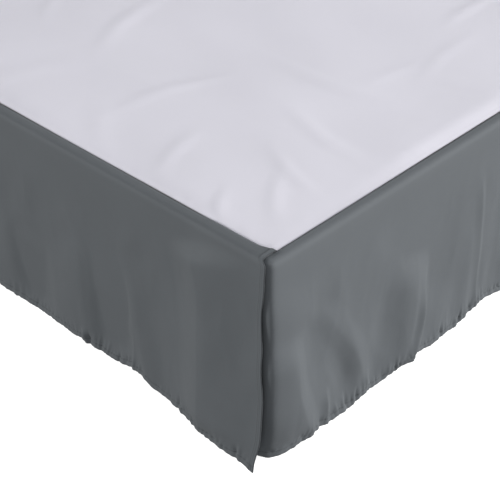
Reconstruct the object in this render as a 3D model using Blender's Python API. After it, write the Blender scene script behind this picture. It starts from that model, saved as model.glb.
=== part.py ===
"""Bed skirt: three grey drop panels and a white platform sheet, on a plain bed base.

Metres, +Z up. The origin is on the floor, under the middle of the bed base. +Y points to the head of the
bed, so the foot panel faces -Y. Each foot corner is split: the foot panel wraps a little way round it, and
the free end of the side panel hangs over the wrap.
"""
import math
from collections import namedtuple

import bmesh
import bpy
from mathutils import Vector

# Bed base: a plain covered box on six round legs
BASE_WIDTH = 1.524
BASE_LENGTH = 2.032
BASE_HEIGHT = 0.229
BASE_TOP = 0.370
BASE_CORNER = 0.040
BASE_EDGE = 0.010
BASE_BOTTOM_EDGE = 0.006
LEG_RADIUS = 0.030
LEG_FOOT_RADIUS = 0.022
LEG_INSET = 0.120
LEG_SIDES = 16

# Cloth and the room it keeps
CLOTH = 0.0015
REST_GAP = 0.0003
EDGE_GAP = 0.0022
LAYER_GAP = 0.0010
SEAM_GAP = 0.0004
LAID = REST_GAP + CLOTH / 2
DRAPED = EDGE_GAP + CLOTH / 2
OVERLAY = CLOTH + LAYER_GAP

# Platform sheet: its seam line lies this far in from the edges of the base
SIDE_INSET = 0.020
FOOT_INSET = 0.016
HEAD_INSET = 0.012
PLATFORM_CORNER = 0.012

# Panels
HEM = 0.008
TIP_DROOP = 0.004
TIP_REACH = 0.030
COLUMN = 0.020
WRAP = 0.080
WRAP_FLARE = 0.0015
HANG = 0.0030
FLAP_FLARE = 0.0235
FLAP_START = 0.060
FLAP_END = 0.215
FLAP_TURN_IN = 0.006
FLAP_RISE = 0.050
DROP_STEPS = (0.17, 0.36, 0.57, 0.79, 1.0)
ROUND_STEPS = (0.0, 30.0, 60.0, 90.0)
CORNER_STEPS = 5

Fold = namedtuple("Fold", "hem_at top_at half_width depth reach keep lift")
EdgePoint = namedtuple("EdgePoint", "down forward")

# The folds of each panel, a row each. hem_at and top_at: where the fold meets the hem and where it dies out,
# along the panel from the seam's corner (on a side panel from the foot, on the foot panel from the left).
# depth: how far it stands out, or in where negative. reach: its top height. keep: the share of the depth
# left at the hem. lift: how far it raises the hem.
LEFT_FOLDS = (
    Fold(0.118, 0.140, 0.042, -0.0040, 0.352, 0.0, 0.000),
    Fold(0.232, 0.250, 0.034, 0.0040, 0.200, 1.0, -0.001),
    Fold(0.274, 0.312, 0.036, -0.0105, 0.270, 1.0, 0.003),
    Fold(0.322, 0.350, 0.032, 0.0020, 0.250, 1.0, 0.000),
    Fold(0.352, 0.372, 0.036, -0.0040, 0.240, 1.0, 0.002),
    Fold(0.430, 0.425, 0.055, 0.0035, 0.260, 1.0, -0.001),
    Fold(0.540, 0.560, 0.040, -0.0055, 0.290, 1.0, 0.003),
    Fold(0.615, 0.610, 0.050, 0.0050, 0.260, 1.0, 0.000),
    Fold(0.700, 0.730, 0.038, -0.0060, 0.250, 1.0, 0.003),
    Fold(0.790, 0.770, 0.060, 0.0055, 0.300, 1.0, -0.001),
    Fold(0.880, 0.905, 0.040, -0.0055, 0.230, 1.0, 0.002),
    Fold(0.955, 0.960, 0.045, 0.0040, 0.210, 1.0, 0.000),
    Fold(1.045, 1.010, 0.048, -0.0070, 0.310, 1.0, 0.003),
    Fold(1.140, 1.150, 0.060, 0.0060, 0.270, 1.0, -0.001),
    Fold(1.235, 1.215, 0.036, -0.0050, 0.220, 1.0, 0.002),
    Fold(1.310, 1.330, 0.052, 0.0045, 0.280, 1.0, 0.000),
    Fold(1.400, 1.430, 0.042, -0.0070, 0.300, 1.0, 0.003),
    Fold(1.490, 1.480, 0.055, 0.0050, 0.240, 1.0, -0.001),
    Fold(1.585, 1.560, 0.038, -0.0055, 0.260, 1.0, 0.003),
    Fold(1.670, 1.690, 0.058, 0.0055, 0.290, 1.0, 0.000),
    Fold(1.770, 1.790, 0.044, -0.0060, 0.240, 1.0, 0.002),
    Fold(1.850, 1.840, 0.048, 0.0040, 0.220, 1.0, 0.000),
    Fold(1.925, 1.900, 0.034, -0.0045, 0.230, 1.0, 0.002),
)
RIGHT_FOLDS = (
    Fold(0.128, 0.150, 0.040, -0.0035, 0.350, 0.0, 0.000),
    Fold(0.255, 0.235, 0.040, 0.0045, 0.230, 1.0, 0.000),
    Fold(0.335, 0.360, 0.042, -0.0065, 0.290, 1.0, 0.003),
    Fold(0.430, 0.420, 0.056, 0.0055, 0.250, 1.0, -0.001),
    Fold(0.520, 0.535, 0.036, -0.0050, 0.220, 1.0, 0.002),
    Fold(0.610, 0.640, 0.060, 0.0050, 0.300, 1.0, 0.000),
    Fold(0.715, 0.700, 0.044, -0.0070, 0.270, 1.0, 0.003),
    Fold(0.800, 0.815, 0.048, 0.0045, 0.230, 1.0, -0.001),
    Fold(0.885, 0.860, 0.036, -0.0050, 0.260, 1.0, 0.002),
    Fold(0.985, 1.000, 0.062, 0.0060, 0.280, 1.0, 0.000),
    Fold(1.090, 1.120, 0.044, -0.0065, 0.300, 1.0, 0.003),
    Fold(1.175, 1.165, 0.046, 0.0045, 0.220, 1.0, 0.000),
    Fold(1.260, 1.240, 0.038, -0.0055, 0.240, 1.0, 0.002),
    Fold(1.355, 1.370, 0.056, 0.0055, 0.300, 1.0, -0.001),
    Fold(1.455, 1.480, 0.042, -0.0060, 0.260, 1.0, 0.003),
    Fold(1.550, 1.545, 0.052, 0.0050, 0.240, 1.0, 0.000),
    Fold(1.640, 1.615, 0.038, -0.0055, 0.280, 1.0, 0.002),
    Fold(1.740, 1.755, 0.060, 0.0055, 0.260, 1.0, -0.001),
    Fold(1.840, 1.860, 0.042, -0.0060, 0.250, 1.0, 0.003),
    Fold(1.915, 1.910, 0.040, 0.0035, 0.200, 1.0, 0.000),
)
FOOT_FOLDS = (
    Fold(0.045, 0.030, 0.040, 0.0010, 0.270, 1.0, 0.001),
    Fold(0.068, 0.066, 0.020, 0.0020, 0.110, 1.0, 0.002),
    Fold(0.102, 0.106, 0.022, -0.0020, 0.100, 1.0, 0.001),
    Fold(0.152, 0.160, 0.036, 0.0035, 0.110, 1.0, -0.001),
    Fold(0.168, 0.080, 0.036, -0.0050, 0.280, 0.0, 0.000),
    Fold(0.205, 0.212, 0.024, -0.0035, 0.120, 1.0, 0.003),
    Fold(0.252, 0.255, 0.034, 0.0040, 0.110, 1.0, -0.001),
    Fold(0.225, 0.265, 0.045, -0.0055, 0.250, 0.0, 0.000),
    Fold(0.300, 0.305, 0.022, -0.0030, 0.080, 1.0, 0.003),
    Fold(0.318, 0.352, 0.028, 0.0045, 0.270, 1.0, 0.000),
    Fold(0.390, 0.400, 0.040, 0.0020, 0.200, 1.0, 0.000),
    Fold(0.446, 0.450, 0.034, 0.0030, 0.200, 1.0, 0.000),
    Fold(0.478, 0.485, 0.026, -0.0030, 0.160, 1.0, 0.002),
    Fold(0.500, 0.512, 0.024, 0.0020, 0.210, 1.0, 0.003),
    Fold(0.530, 0.545, 0.040, -0.0040, 0.260, 1.0, 0.002),
    Fold(0.590, 0.585, 0.045, 0.0040, 0.240, 1.0, 0.000),
    Fold(0.665, 0.690, 0.032, -0.0050, 0.270, 1.0, 0.003),
    Fold(0.745, 0.735, 0.052, 0.0045, 0.230, 1.0, -0.001),
    Fold(0.825, 0.815, 0.028, -0.0045, 0.190, 1.0, 0.003),
    Fold(0.880, 0.915, 0.044, -0.0050, 0.290, 0.0, 0.000),
    Fold(0.905, 0.905, 0.050, 0.0045, 0.200, 1.0, -0.001),
    Fold(0.980, 0.955, 0.030, -0.0055, 0.270, 1.0, 0.004),
    Fold(1.050, 1.060, 0.046, 0.0045, 0.220, 1.0, 0.000),
    Fold(1.120, 1.130, 0.026, -0.0040, 0.150, 1.0, 0.003),
    Fold(1.190, 1.160, 0.046, -0.0050, 0.280, 0.0, 0.000),
    Fold(1.200, 1.195, 0.050, 0.0050, 0.200, 1.0, -0.001),
    Fold(1.280, 1.305, 0.030, -0.0050, 0.250, 1.0, 0.003),
    Fold(1.345, 1.355, 0.044, 0.0035, 0.210, 1.0, 0.000),
    Fold(1.410, 1.425, 0.030, -0.0030, 0.180, 1.0, 0.002),
)

# How far the free end of a side panel runs forward of the seam's corner, from the seam down to the hem
LEFT_FREE_EDGE = (
    EdgePoint(0.00, 0.000), EdgePoint(0.04, 0.006), EdgePoint(0.10, 0.007), EdgePoint(0.25, 0.005),
    EdgePoint(0.45, 0.013), EdgePoint(0.62, 0.023), EdgePoint(0.82, 0.023), EdgePoint(1.00, 0.014),
)
RIGHT_FREE_EDGE = (
    EdgePoint(0.00, 0.000), EdgePoint(0.04, 0.005), EdgePoint(0.10, 0.006), EdgePoint(0.35, 0.011),
    EdgePoint(0.60, 0.009), EdgePoint(0.80, 0.017), EdgePoint(1.00, 0.020),
)

# Finishes: base colour, roughness
FINISHES = {
    "skirt_cloth": ((0.112, 0.122, 0.132), 0.72),
    "platform_cloth": ((0.72, 0.71, 0.76), 0.80),
    "base_cover": ((0.52, 0.51, 0.50), 0.85),
    "leg_plastic": ((0.025, 0.025, 0.027), 0.45),
}


def mix(a, b, share):
    return a + (b - a) * share


def smooth_step(value, start, end):
    share = min(1.0, max(0.0, (value - start) / (end - start)))
    return share * share * (3.0 - 2.0 * share)


def bump(x):
    """A soft hump, 1 at 0 and flat at -1 and 1."""
    return (1.0 - x * x) ** 2 if abs(x) < 1.0 else 0.0


def material(name):
    colour, roughness = FINISHES[name]
    finish = bpy.data.materials.new(name)
    finish.use_nodes = True
    shader = finish.node_tree.nodes["Principled BSDF"]
    shader.inputs["Base Color"].default_value = (*colour, 1.0)
    shader.inputs["Roughness"].default_value = roughness
    shader.inputs["Metallic"].default_value = 0.0
    finish.diffuse_color = (*colour, 1.0)
    return finish


def add_object(name, bm, finish):
    bmesh.ops.recalc_face_normals(bm, faces=bm.faces)
    mesh = bpy.data.meshes.new(name)
    bm.to_mesh(mesh)
    bm.free()
    mesh.materials.append(finish)
    mesh.shade_smooth()
    mesh.set_sharp_from_angle(angle=math.radians(40.0))
    piece = bpy.data.objects.new(name, mesh)
    bpy.context.scene.collection.objects.link(piece)
    return piece


def rounded_rectangle(x_half, y_low, y_high, radius, steps):
    """Corner arcs of a rectangle centred on X, anticlockwise from its lower right."""
    outline = []
    corners = ((x_half, y_low, -90.0), (x_half, y_high, 0.0), (-x_half, y_high, 90.0), (-x_half, y_low, 180.0))
    for x, y, start in corners:
        centre_x = x - math.copysign(radius, x)
        centre_y = y + radius if y == y_low else y - radius
        for step in range(steps + 1):
            angle = math.radians(start + 90.0 * step / steps)
            outline.append((centre_x + radius * math.cos(angle), centre_y + radius * math.sin(angle)))
    return outline


def lofted(rings):
    """A closed body through rings of equal length, with a flat face on each end."""
    bm = bmesh.new()
    loops = [[bm.verts.new(point) for point in ring] for ring in rings]
    count = len(loops[0])
    for low, high in zip(loops, loops[1:]):
        for i in range(count):
            j = (i + 1) % count
            bm.faces.new((low[i], low[j], high[j], high[i]))
    bm.faces.new(list(reversed(loops[0])))
    bm.faces.new(loops[-1])
    return bm


def make_base():
    """The box of the bed base: rounded corners, a soft top edge and a small bottom edge."""
    bottom = BASE_TOP - BASE_HEIGHT
    levels = [(BASE_BOTTOM_EDGE, bottom), (0.0, bottom + BASE_BOTTOM_EDGE)]
    for angle in (0.0, 30.0, 60.0, 90.0):
        turn = math.radians(angle)
        levels.append((BASE_EDGE * (1.0 - math.cos(turn)), BASE_TOP - BASE_EDGE * (1.0 - math.sin(turn))))
    rings = []
    for inset, z in levels:
        half = BASE_WIDTH / 2 - inset
        end = BASE_LENGTH / 2 - inset
        outline = rounded_rectangle(half, -end, end, BASE_CORNER - inset, CORNER_STEPS)
        rings.append([(x, y, z) for x, y in outline])
    return add_object("bed_base", lofted(rings), material("base_cover"))


def make_legs():
    finish = material("leg_plastic")
    top = BASE_TOP - BASE_HEIGHT - REST_GAP
    x_row = BASE_WIDTH / 2 - LEG_INSET
    y_row = BASE_LENGTH / 2 - LEG_INSET
    spots = (("front", -y_row), ("middle", 0.0), ("head", y_row))
    for side, x in (("left", -x_row), ("right", x_row)):
        for place, y in spots:
            rings = []
            for radius, z in ((LEG_FOOT_RADIUS, 0.0), (LEG_RADIUS, top)):
                turns = [2.0 * math.pi * i / LEG_SIDES for i in range(LEG_SIDES)]
                rings.append([(x + radius * math.cos(a), y + radius * math.sin(a), z) for a in turns])
            add_object(f"leg_{side}_{place}", lofted(rings), finish)


def make_platform():
    """The flat sheet between base and mattress, up to the seam line of the panels."""
    half = BASE_WIDTH / 2 - SIDE_INSET
    low = -BASE_LENGTH / 2 + FOOT_INSET
    high = BASE_LENGTH / 2 - HEAD_INSET
    outline = rounded_rectangle(half, low, high, PLATFORM_CORNER, CORNER_STEPS)
    bottom = BASE_TOP + REST_GAP
    rings = [[(x, y, z) for x, y in outline] for z in (bottom, bottom + CLOTH)]
    return add_object("platform", lofted(rings), material("platform_cloth"))


def add_sheet(name, grid, finish):
    """A closed sheet of the cloth's thickness around a grid of points.

    Columns run along the panel and rows down it; the first row lies flat against the platform's edge.
    """
    columns = len(grid)
    rows = len(grid[0])
    bm = bmesh.new()
    outer = []
    inner = []
    for i in range(columns):
        outer.append([])
        inner.append([])
        for j in range(rows):
            along = grid[min(i + 1, columns - 1)][j] - grid[max(i - 1, 0)][j]
            down = grid[i][min(j + 1, rows - 1)] - grid[i][max(j - 1, 0)]
            normal = along.cross(down).normalized()
            if j == 0:
                normal = Vector((0.0, 0.0, math.copysign(1.0, normal.z)))
            outer[i].append(bm.verts.new(grid[i][j] + normal * CLOTH / 2))
            inner[i].append(bm.verts.new(grid[i][j] - normal * CLOTH / 2))
    for i in range(columns - 1):
        for j in range(rows - 1):
            bm.faces.new((outer[i][j], outer[i][j + 1], outer[i + 1][j + 1], outer[i + 1][j]))
            bm.faces.new((inner[i][j], inner[i + 1][j], inner[i + 1][j + 1], inner[i][j + 1]))
    for i in range(columns - 1):
        for j in (0, rows - 1):
            bm.faces.new((outer[i][j], outer[i + 1][j], inner[i + 1][j], inner[i][j]))
    for j in range(rows - 1):
        for i in (0, columns - 1):
            bm.faces.new((outer[i][j], inner[i][j], inner[i][j + 1], outer[i][j + 1]))
    bmesh.ops.triangulate(bm, faces=bm.faces)
    return add_object(name, bm, finish)


def fold_offset(folds, along, z):
    """How far the folds push the cloth out at a place along the panel and a height."""
    offset = 0.0
    for fold in folds:
        if z < fold.reach:
            down = (fold.reach - z) / (fold.reach - HEM)
            centre = mix(fold.top_at, fold.hem_at, down)
            growth = fold.keep * down ** 1.2 + (1.0 - fold.keep) * math.sin(math.pi * down)
            offset += fold.depth * bump((along - centre) / fold.half_width) * growth
    return offset


def hem_lift(folds, along):
    return sum(fold.lift * bump((along - fold.hem_at) / fold.half_width) for fold in folds)


def hanging(along, z, folds, flare):
    """Distance of the cloth's middle from the face of the base, never nearer than its clearance."""
    down = (BASE_TOP - z) / (BASE_TOP - HEM)
    out = DRAPED + HANG * down + flare * down ** 1.5 + fold_offset(folds, along, z)
    below_base = max(0.0, BASE_TOP - BASE_HEIGHT - z)
    return max(out, DRAPED - 0.06 * below_base)


def column_points(seam, edge, outward, along, folds, flare, raise_by=0.0, seam_height=LAID, droop=0.0):
    """One column of a panel: from the seam over the top edge of the base and down to the hem.

    seam and edge are the plan points of the seam line and of the base's face; raise_by lifts the cloth
    over a layer beneath it, seam_height is how high its top edge lies over the base, and droop lowers
    the hem.
    """
    top = Vector((0.0, 0.0, BASE_TOP))
    points = [seam + top + Vector((0.0, 0.0, seam_height + raise_by))]
    centre = edge - outward * BASE_EDGE + top - Vector((0.0, 0.0, BASE_EDGE))
    reach = BASE_EDGE + DRAPED + raise_by
    for angle in ROUND_STEPS:
        turn = math.radians(angle)
        points.append(centre + outward * reach * math.sin(turn) + Vector((0.0, 0.0, reach * math.cos(turn))))
    start = BASE_TOP - BASE_EDGE
    low = HEM + hem_lift(folds, along) - droop
    for share in DROP_STEPS:
        z = mix(start, low, share)
        out = hanging(along, z, folds, flare) + raise_by
        points.append(edge + outward * out + Vector((0.0, 0.0, z)))
    return points


def free_edge_forward(table, down):
    for low, high in zip(table, table[1:]):
        if down <= high.down:
            return mix(low.forward, high.forward, smooth_step(down, low.down, high.down))
    return table[-1].forward


def make_side_panel(name, side, folds, free_edge, finish):
    """A side panel, straight along the bed, with its free end flaring over the foot panel's wrap."""
    face = side * BASE_WIDTH / 2
    outward = Vector((side, 0.0, 0.0))
    corner = -BASE_LENGTH / 2 + FOOT_INSET
    length = BASE_LENGTH / 2 - corner
    count = round(length / COLUMN)
    grid = []
    for i in range(count + 1):
        along = length * i / count
        y = corner + along
        turn_in = FLAP_TURN_IN * (1.0 - smooth_step(along, 0.0, 0.030))
        seam = Vector((face - side * (SIDE_INSET - SEAM_GAP + turn_in), y, 0.0))
        raise_by = OVERLAY * (1.0 - smooth_step(along, WRAP + 0.010, WRAP + 0.070))
        flare = FLAP_FLARE * (1.0 - smooth_step(along, FLAP_START, FLAP_END))
        edge = Vector((face, y, 0.0))
        seam_height = mix(DRAPED, LAID, smooth_step(along, 0.0, FLAP_RISE))
        droop = TIP_DROOP * bump(along / TIP_REACH)
        points = column_points(seam, edge, outward, along, folds, flare, raise_by, seam_height, droop)
        share = 1.0 - smooth_step(along, 0.0, 0.110)
        for point in points:
            down = min(1.0, (points[0].z - point.z) / (BASE_TOP - HEM))
            point.y -= share * free_edge_forward(free_edge, down)
        grid.append(points)
    if side > 0:
        grid.reverse()
    return add_sheet(name, grid, finish)


def corner_stations(side):
    """Seam point, face point, outward direction and place along the foot, from a wrap's end to the foot.

    The wrap's stations run towards the foot along the side of the base, then round its corner.
    """
    stations = []
    x_face = side * BASE_WIDTH / 2
    y_face = -BASE_LENGTH / 2
    arc_centre = Vector((x_face - side * BASE_CORNER, y_face + BASE_CORNER, 0.0))
    seam_arc = PLATFORM_CORNER + SEAM_GAP
    seam_centre = Vector((x_face - side * (SIDE_INSET + PLATFORM_CORNER), y_face + FOOT_INSET + PLATFORM_CORNER, 0.0))
    wrap_end = FOOT_INSET + WRAP
    for share in (0.0, 0.5):
        y = mix(wrap_end, BASE_CORNER, share)
        seam = Vector((x_face - side * (SIDE_INSET - SEAM_GAP), y_face + y, 0.0))
        stations.append((seam, Vector((x_face, y_face + y, 0.0)), Vector((side, 0.0, 0.0)), FOOT_INSET - y))
    for step in range(CORNER_STEPS + 1):
        turn = math.radians(90.0 * step / CORNER_STEPS)
        outward = Vector((side * math.cos(turn), -math.sin(turn), 0.0))
        place = mix(FOOT_INSET - BASE_CORNER, BASE_CORNER - SIDE_INSET, step / CORNER_STEPS)
        stations.append((seam_centre + outward * seam_arc, arc_centre + outward * BASE_CORNER, outward, place))
    return stations


def make_foot_panel(name, folds, finish):
    """The foot panel, with a wrap at each end round the corner of the base."""
    seam_length = BASE_WIDTH - 2 * SIDE_INSET
    stations = corner_stations(-1)
    straight = BASE_WIDTH - 2 * BASE_CORNER
    count = round(straight / COLUMN)
    for i in range(1, count):
        x = -straight / 2 + straight * i / count
        seam = Vector((x, -BASE_LENGTH / 2 + FOOT_INSET - SEAM_GAP, 0.0))
        edge = Vector((x, -BASE_LENGTH / 2, 0.0))
        stations.append((seam, edge, Vector((0.0, -1.0, 0.0)), x + seam_length / 2))
    for seam, edge, outward, place in reversed(corner_stations(1)):
        stations.append((seam, edge, outward, seam_length - place))
    grid = []
    for seam, edge, outward, along in stations:
        on_wrap = max(-along, along - seam_length)
        flare = WRAP_FLARE * (1.0 - smooth_step(on_wrap, -0.02, 0.02))
        grid.append(column_points(seam, edge, outward, along, folds, flare))
    return add_sheet(name, grid, finish)


def main():
    for old in list(bpy.data.objects):
        bpy.data.objects.remove(old, do_unlink=True)
    make_base()
    make_legs()
    make_platform()
    skirt = material("skirt_cloth")
    make_side_panel("side_panel_left", -1, LEFT_FOLDS, LEFT_FREE_EDGE, skirt)
    make_side_panel("side_panel_right", 1, RIGHT_FOLDS, RIGHT_FREE_EDGE, skirt)
    make_foot_panel("foot_panel", FOOT_FOLDS, skirt)


main()
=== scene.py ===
"""Bed skirt: three grey drop panels and a white platform sheet, on a plain bed base.

Metres, +Z up, the origin on the floor under the middle of the base, +Y to the head of the bed. Each piece of
cloth is a thin closed sheet that hangs in the folds of its solid, with its hems, stitch lines, puckers and
main creases added.
"""
import math
from collections import namedtuple

import bmesh
import bpy
import numpy as np
from bpy.props import FloatProperty, FloatVectorProperty, IntProperty, PointerProperty
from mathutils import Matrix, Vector, noise


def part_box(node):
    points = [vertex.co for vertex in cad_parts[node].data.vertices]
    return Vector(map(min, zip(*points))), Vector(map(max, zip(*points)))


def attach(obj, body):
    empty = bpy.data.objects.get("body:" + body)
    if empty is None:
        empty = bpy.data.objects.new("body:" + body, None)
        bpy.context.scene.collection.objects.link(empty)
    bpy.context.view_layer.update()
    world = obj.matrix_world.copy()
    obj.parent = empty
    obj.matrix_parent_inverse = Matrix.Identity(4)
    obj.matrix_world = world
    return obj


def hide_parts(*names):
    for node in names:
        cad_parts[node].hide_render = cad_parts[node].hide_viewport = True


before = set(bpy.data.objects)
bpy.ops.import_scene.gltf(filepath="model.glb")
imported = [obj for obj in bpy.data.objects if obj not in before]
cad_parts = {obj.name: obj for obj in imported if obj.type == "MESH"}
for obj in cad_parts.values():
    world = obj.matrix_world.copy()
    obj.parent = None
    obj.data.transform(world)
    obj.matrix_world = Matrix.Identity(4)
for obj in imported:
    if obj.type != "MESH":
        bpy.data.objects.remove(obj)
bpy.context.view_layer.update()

bl_info = {
    "name": "Bed Skirt",
    "version": (1, 0, 0),
    "blender": (4, 5, 0),
    "location": "View3D > Sidebar > Bed Skirt",
    "description": "Builds a tailored bed skirt with split corners on a plain bed base",
    "category": "Add Mesh",
}

# Sizes of the frame that the cloth follows
BASE_LOW, BASE_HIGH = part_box("bed_base")
PLATFORM_LOW, PLATFORM_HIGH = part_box("platform")
BASE_TOP = BASE_HIGH.z
BASE_BOTTOM = BASE_LOW.z
HALF_WIDTH = BASE_HIGH.x
HALF_LENGTH = BASE_HIGH.y
BASE_CORNER = 0.040
BASE_EDGE = 0.010
PLATFORM_CORNER = 0.012
CAD_CLOTH = 0.0015
EDGE_GAP = 0.0022
LAYER_GAP = 0.0010
SEAM_GAP = 0.0004
LAID = (PLATFORM_LOW.z + PLATFORM_HIGH.z) / 2 - BASE_TOP
DRAPED = EDGE_GAP + CAD_CLOTH / 2
OVERLAY = CAD_CLOTH + LAYER_GAP
SIDE_INSET = HALF_WIDTH - PLATFORM_HIGH.x
FOOT_INSET = PLATFORM_LOW.y + HALF_LENGTH
SEAM_LENGTH = PLATFORM_HIGH.x - PLATFORM_LOW.x
SIDE_LENGTH = HALF_LENGTH - PLATFORM_LOW.y

# How the panels hang
HEM = 0.008
TIP_DROOP = 0.004
TIP_REACH = 0.030
WRAP = 0.080
WRAP_FLARE = 0.0015
HANG = 0.0030
FLAP_FLARE = 0.0235
FLAP_START = 0.082
FLAP_END = 0.215
FLAP_TURN_IN = 0.006
FLAP_TURN_REACH = 0.030
FLAP_RISE = 0.050
FLAP_STRETCH = 0.110
LEAN_IN = 0.06
SOFT_TOUCH = 0.0012

# The share of a fold's depth and lift left at the hem, whose doubled cloth is stiffer, and where that starts
HEM_STIFFENS = 0.45
HEM_STIFFENS_FROM = 0.080

# Creases wider than BROAD_CREASE keep this share of their depth at the hem, and all of it from this height up
BROAD_CREASE = 0.050
CREASE_AT_HEM = 0.60
CREASE_FULL_FROM = 0.050

# How square the cloth bends, as the power of a superellipse: 2 is round, and more is squarer
CORNER_CRISP = 11.0
SIDE_EDGE_CRISP = 3.4
FOOT_EDGE_CRISP = 2.4

# The share of the foot corners' squareness that is lost at the hem, and the height where that starts
CORNER_ROUNDS = 0.60
CORNER_SQUARE_FROM = 0.120

# The lines where the panels are sewn to the platform: a raised shoulder beside a sunk seam
SEAM_SHOULDER = 0.0012
SEAM_SHOULDER_AT = 0.0036
SEAM_DIP = 0.0009
SEAM_DIP_WIDTH = 0.0012

# How far the stitching lies inside the inner edge of an end hem, and the platform's from its head edge
END_STITCH_IN = 0.0010
PLATFORM_STITCH = 0.0110

# Seeds of each panel's unevenness and of its hem's puckers, and of the platform's wrinkles and seams
Seeds = namedtuple("Seeds", "cloth hem")
LEFT_SEEDS = Seeds(11, 21)
RIGHT_SEEDS = Seeds(12, 22)
FOOT_SEEDS = Seeds(13, 23)
TICK_SEED_STEP = 50
WRINKLE_SEED = 17
SIDE_SEAM_SEED = 5
FOOT_SEAM_SEED = 6

Fold = namedtuple("Fold", "hem_at top_at half_width depth reach keep lift")
Crease = namedtuple("Crease", "path before after depth crisp fade_low fade_high")
EdgePoint = namedtuple("EdgePoint", "down forward")
HemPoint = namedtuple("HemPoint", "at rise")

# The folds of each panel, as in its solid. hem_at and top_at: where the fold meets the hem and where it dies
# out, along the panel from the seam's corner: on a side panel from the foot, on the foot panel from the left.
# depth: how far it stands out, or in where negative. reach: its top height. keep: the share of the depth
# left at the hem. lift: how far it raises the hem.
LEFT_FOLDS = (
    Fold(0.118, 0.140, 0.042, -0.0015, 0.352, 0.0, 0.000),
    Fold(0.232, 0.250, 0.034, 0.0040, 0.200, 1.0, -0.001),
    Fold(0.274, 0.312, 0.036, -0.0105, 0.270, 1.0, 0.003),
    Fold(0.322, 0.350, 0.032, 0.0020, 0.250, 1.0, 0.000),
    Fold(0.352, 0.372, 0.036, -0.0040, 0.240, 1.0, 0.002),
    Fold(0.430, 0.425, 0.055, 0.0035, 0.260, 1.0, -0.001),
    Fold(0.540, 0.560, 0.040, -0.0055, 0.290, 1.0, 0.003),
    Fold(0.615, 0.610, 0.050, 0.0050, 0.260, 1.0, 0.000),
    Fold(0.700, 0.730, 0.038, -0.0060, 0.250, 1.0, 0.003),
    Fold(0.790, 0.770, 0.060, 0.0055, 0.300, 1.0, -0.001),
    Fold(0.880, 0.905, 0.040, -0.0055, 0.230, 1.0, 0.002),
    Fold(0.955, 0.960, 0.045, 0.0040, 0.210, 1.0, 0.000),
    Fold(1.045, 1.010, 0.048, -0.0070, 0.310, 1.0, 0.003),
    Fold(1.140, 1.150, 0.060, 0.0060, 0.270, 1.0, -0.001),
    Fold(1.235, 1.215, 0.036, -0.0050, 0.220, 1.0, 0.002),
    Fold(1.310, 1.330, 0.052, 0.0045, 0.280, 1.0, 0.000),
    Fold(1.400, 1.430, 0.042, -0.0070, 0.300, 1.0, 0.003),
    Fold(1.490, 1.480, 0.055, 0.0050, 0.240, 1.0, -0.001),
    Fold(1.585, 1.560, 0.038, -0.0055, 0.260, 1.0, 0.003),
    Fold(1.670, 1.690, 0.058, 0.0055, 0.290, 1.0, 0.000),
    Fold(1.770, 1.790, 0.044, -0.0060, 0.240, 1.0, 0.002),
    Fold(1.850, 1.840, 0.048, 0.0040, 0.220, 1.0, 0.000),
    Fold(1.925, 1.900, 0.034, -0.0045, 0.230, 1.0, 0.002),
)
RIGHT_FOLDS = (
    Fold(0.128, 0.150, 0.040, -0.0035, 0.350, 0.0, 0.000),
    Fold(0.255, 0.235, 0.040, 0.0045, 0.230, 1.0, 0.000),
    Fold(0.335, 0.360, 0.042, -0.0065, 0.290, 1.0, 0.003),
    Fold(0.430, 0.420, 0.056, 0.0055, 0.250, 1.0, -0.001),
    Fold(0.520, 0.535, 0.036, -0.0050, 0.220, 1.0, 0.002),
    Fold(0.610, 0.640, 0.060, 0.0050, 0.300, 1.0, 0.000),
    Fold(0.715, 0.700, 0.044, -0.0070, 0.270, 1.0, 0.003),
    Fold(0.800, 0.815, 0.048, 0.0045, 0.230, 1.0, -0.001),
    Fold(0.885, 0.860, 0.036, -0.0050, 0.260, 1.0, 0.002),
    Fold(0.985, 1.000, 0.062, 0.0060, 0.280, 1.0, 0.000),
    Fold(1.090, 1.120, 0.044, -0.0065, 0.300, 1.0, 0.003),
    Fold(1.175, 1.165, 0.046, 0.0045, 0.220, 1.0, 0.000),
    Fold(1.260, 1.240, 0.038, -0.0055, 0.240, 1.0, 0.002),
    Fold(1.355, 1.370, 0.056, 0.0055, 0.300, 1.0, -0.001),
    Fold(1.455, 1.480, 0.042, -0.0060, 0.260, 1.0, 0.003),
    Fold(1.550, 1.545, 0.052, 0.0050, 0.240, 1.0, 0.000),
    Fold(1.640, 1.615, 0.038, -0.0055, 0.280, 1.0, 0.002),
    Fold(1.740, 1.755, 0.060, 0.0055, 0.260, 1.0, -0.001),
    Fold(1.840, 1.860, 0.042, -0.0060, 0.250, 1.0, 0.003),
    Fold(1.915, 1.910, 0.040, 0.0035, 0.200, 1.0, 0.000),
)
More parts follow.
